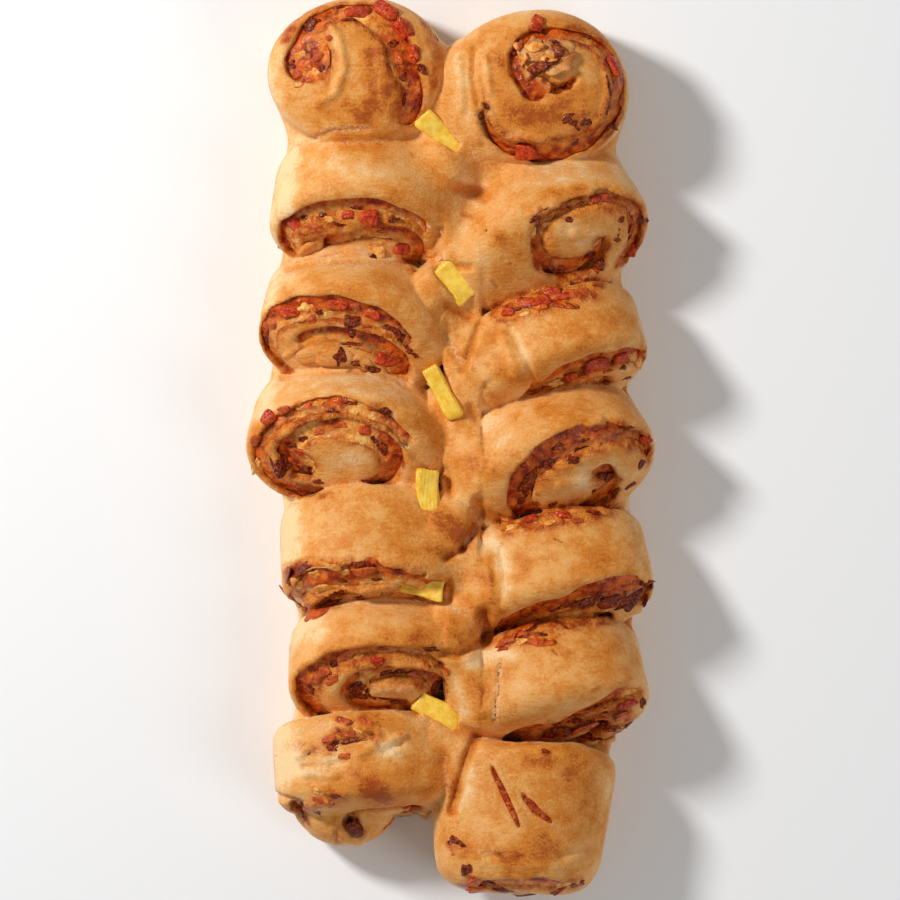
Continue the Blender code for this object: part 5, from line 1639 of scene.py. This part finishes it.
def bit_points(kind, place, cube, relief, seed):
    """Points of one die or blob, seated on the top of the loaf."""
    pixel, length, width, turn = place
    x, y = at_pixel(pixel)
    size = np.array((length, width, min(length, width) * kind.height)) * PIXEL / 2
    power = kind.power
    points = cube / (np.abs(cube) ** power).sum(axis=1)[:, None] ** (1 / power)
    chance = np.random.default_rng(seed)
    for _ in range(kind.waves):
        wave = chance.normal(0, 1, 3)
        wave = wave / np.linalg.norm(wave) * chance.uniform(WAVE_LEAST, kind.waves)
        points = points * (1 + kind.wobble * np.sin(points @ wave + chance.uniform(0, FULL_TURN)))[:, None]
    up = relief.upward(x, y, BIT_SLOPE)
    turn = math.radians(turn)
    along = Vector((math.cos(turn), math.sin(turn), 0))
    along = (along - along.dot(up) * up).normalized()
    lean = Matrix.Rotation(chance.uniform(-kind.lean, kind.lean), 3, along)
    axes = np.array([along, up.cross(along), up]) @ np.array(lean).T
    seat = np.array((x, y, float(relief.read(x, y)))) + np.array(up) * size[2] * kind.proud
    return points * size @ axes + seat


def add_bits(piece, relief, look, seed):
    """Ham dice, burnt lumps and cheese of one slice, as one mesh."""
    cube, faces = lattice(BIT_STEPS)
    points, quads, colours = [], [], {"ham": [], "cheese": [], "burn": []}
    for k, bit in enumerate(BITS[piece.name]):
        if relief.read(*at_pixel(bit[1])) < BIT_LEAST:
            continue
        quads.append(faces + len(points) * len(cube))
        kind = KINDS[bit[0]]
        points.append(bit_points(kind, bit[1:], cube, relief, seed + k))
        for key, value in zip(colours, (kind.ham, kind.cheese, kind.burn)):
            colours[key].append(np.full(len(cube), value))
    colours = {key: np.concatenate(values) for key, values in colours.items()}
    obj = new_mesh("bits_" + piece.name, np.vstack(points), np.vstack(quads), (), colours)
    add_piece(obj, look, "filling", "filling_" + piece.name)


def add_lumps(piece, relief, look, seed):
    """Lumps of dough that fill a slice's openings, which then count as its top."""
    cube, faces = lattice(LUMP_STEPS)
    placed = []
    for k, (kind, *place) in enumerate(LUMPS.get(piece.name, ())):
        points = bit_points(KINDS[kind], place, cube, relief, seed + k)
        colours = {key: np.full(len(cube), value) for key, value in LUMP_COLOURS[kind].items()}
        obj = new_mesh("lump_%s_%d" % (piece.name, k), points, faces, (), colours)
        add_piece(obj, look, "crust", "bread")
        placed.append(points)
    for points in placed:
        relief.lift(points)


def add_chunk(chunk, look, seed):
    """A pineapple chunk with fibres along it."""
    reach = max(chunk.size) / 2 + CHUNK_MARGIN
    low = np.array(chunk.centre) - reach
    count = int(2 * reach / PINEAPPLE_STEP) + 1
    axis = PINEAPPLE_STEP * np.arange(count)
    x, y, z = spread(*(corner + axis for corner in low))
    field = chunk_field(chunk, x, y, z, 0.0)
    turn = Matrix.Rotation(math.radians(chunk.yaw), 3, "Z")
    across = -(x - chunk.centre[0]) * turn[1][0] + (y - chunk.centre[1]) * turn[0][0]
    shape = (count,) * 3
    strand = across * FIBRES + FIBRE_BEND * noise(shape, PINEAPPLE_STEP, FIBRE_BEND_SIZE, seed)
    ridge = np.sin(strand) * FIBRE_DEPTH * (1 + noise(shape, PINEAPPLE_STEP, FIBRE_PATCH, seed + 2))
    field = field + ridge + CHUNK_LUMPS * noise(shape, PINEAPPLE_STEP, CHUNK_LUMP_SIZE, seed + 1)
    points, quads = surface(field, low, PINEAPPLE_STEP)
    place = np.clip(((points - low) / PINEAPPLE_STEP).round().astype(int), 0, count - 1)
    fibre = smooth_step(np.broadcast_to(ridge, shape)[tuple(place.T)], 0.0, FIBRE_TOP)
    obj = new_mesh("chunk_" + chunk.name, points, quads, (), {"fibre": fibre})
    add_piece(obj, look, "pineapple", chunk.name)


# Setting

def add_floor():
    """A plain pale floor at the loaf's base, which isn't part of it."""
    mesh = bpy.data.meshes.new("floor")
    builder = bmesh.new()
    bmesh.ops.create_grid(builder, x_segments=1, y_segments=1, size=FLOOR_SIZE)
    builder.to_mesh(mesh)
    builder.free()
    floor = add_object("floor", mesh)
    mesh.materials.append(Look("floor", 0.7).finish(FLOOR))


def add_light(name, place, size, power):
    """A round lamp that shines on the loaf."""
    data = bpy.data.lights.new(name, "AREA")
    data.shape = "DISK"
    data.size = size
    data.energy = power
    light = add_object(name, data)
    light.location = place
    aim = Vector(LIGHT_TARGET) - Vector(place)
    light.rotation_euler = aim.to_track_quat("-Z", "Y").to_euler()


def add_camera():
    """Looks straight down, so that the photograph's frame fits at half the loaf's height."""
    data = bpy.data.cameras.new("camera")
    data.sensor_width = data.sensor_height = SENSOR
    data.lens = SENSOR * CAMERA_DISTANCE / (PICTURE_SIZE * PIXEL * MM)
    data.clip_end = CAMERA_CLIP
    camera = add_object("camera", data)
    x, y = at_pixel((PICTURE_SIZE / 2, PICTURE_SIZE / 2))
    camera.location = (x * MM, y * MM, CAMERA_FOCUS + CAMERA_DISTANCE)
    bpy.context.scene.camera = camera


def add_setting():
    """Floor, lights, a plain white world and the camera."""
    scene = bpy.context.scene
    scene.view_settings.view_transform = "Standard"
    world = bpy.data.worlds.new("studio")
    world.use_nodes = True
    background = world.node_tree.nodes["Background"]
    background.inputs["Color"].default_value = (1.0, 1.0, 1.0, 1.0)
    background.inputs["Strength"].default_value = WORLD_STRENGTH
    scene.world = world
    add_floor()
    for light in LIGHTS:
        add_light(*light)
    add_camera()


def main():
    crust, filling, pineapple = crust_look(), filling_look(), pineapple_look()
    faces = {piece.name: Face(piece, k) for k, piece in enumerate(SLICES)}
    low, high = (np.array(corner) / MM for corner in CAD_BOX)
    low = (low[0] - GRID_MARGIN, low[1] - GRID_MARGIN, BASE_CUT - GRID_BELOW * DOUGH_STEP)
    grid = Grid(low, high + GRID_MARGIN, DOUGH_STEP)
    dough, fillings = make_fields(grid, faces)
    fillings, whole = trimmed(grid, dough, fillings)
    relief = Relief(grid, whole)
    add_dough(grid, dough, faces, relief, crust)
    for k, piece in enumerate(SLICES):
        seed = FILLING_SEED + FILLING_SEED_STEP * k
        add_filling(piece, faces[piece.name], grid, fillings[piece.name], filling, seed)
        add_lumps(piece, relief, crust, LUMP_SEED + BIT_SEED_STEP * k)
        add_bits(piece, relief, filling, BIT_SEED + BIT_SEED_STEP * k)
    for k, chunk in enumerate(CHUNKS):
        add_chunk(chunk, pineapple, CHUNK_SEED + k)
    add_setting()


main()
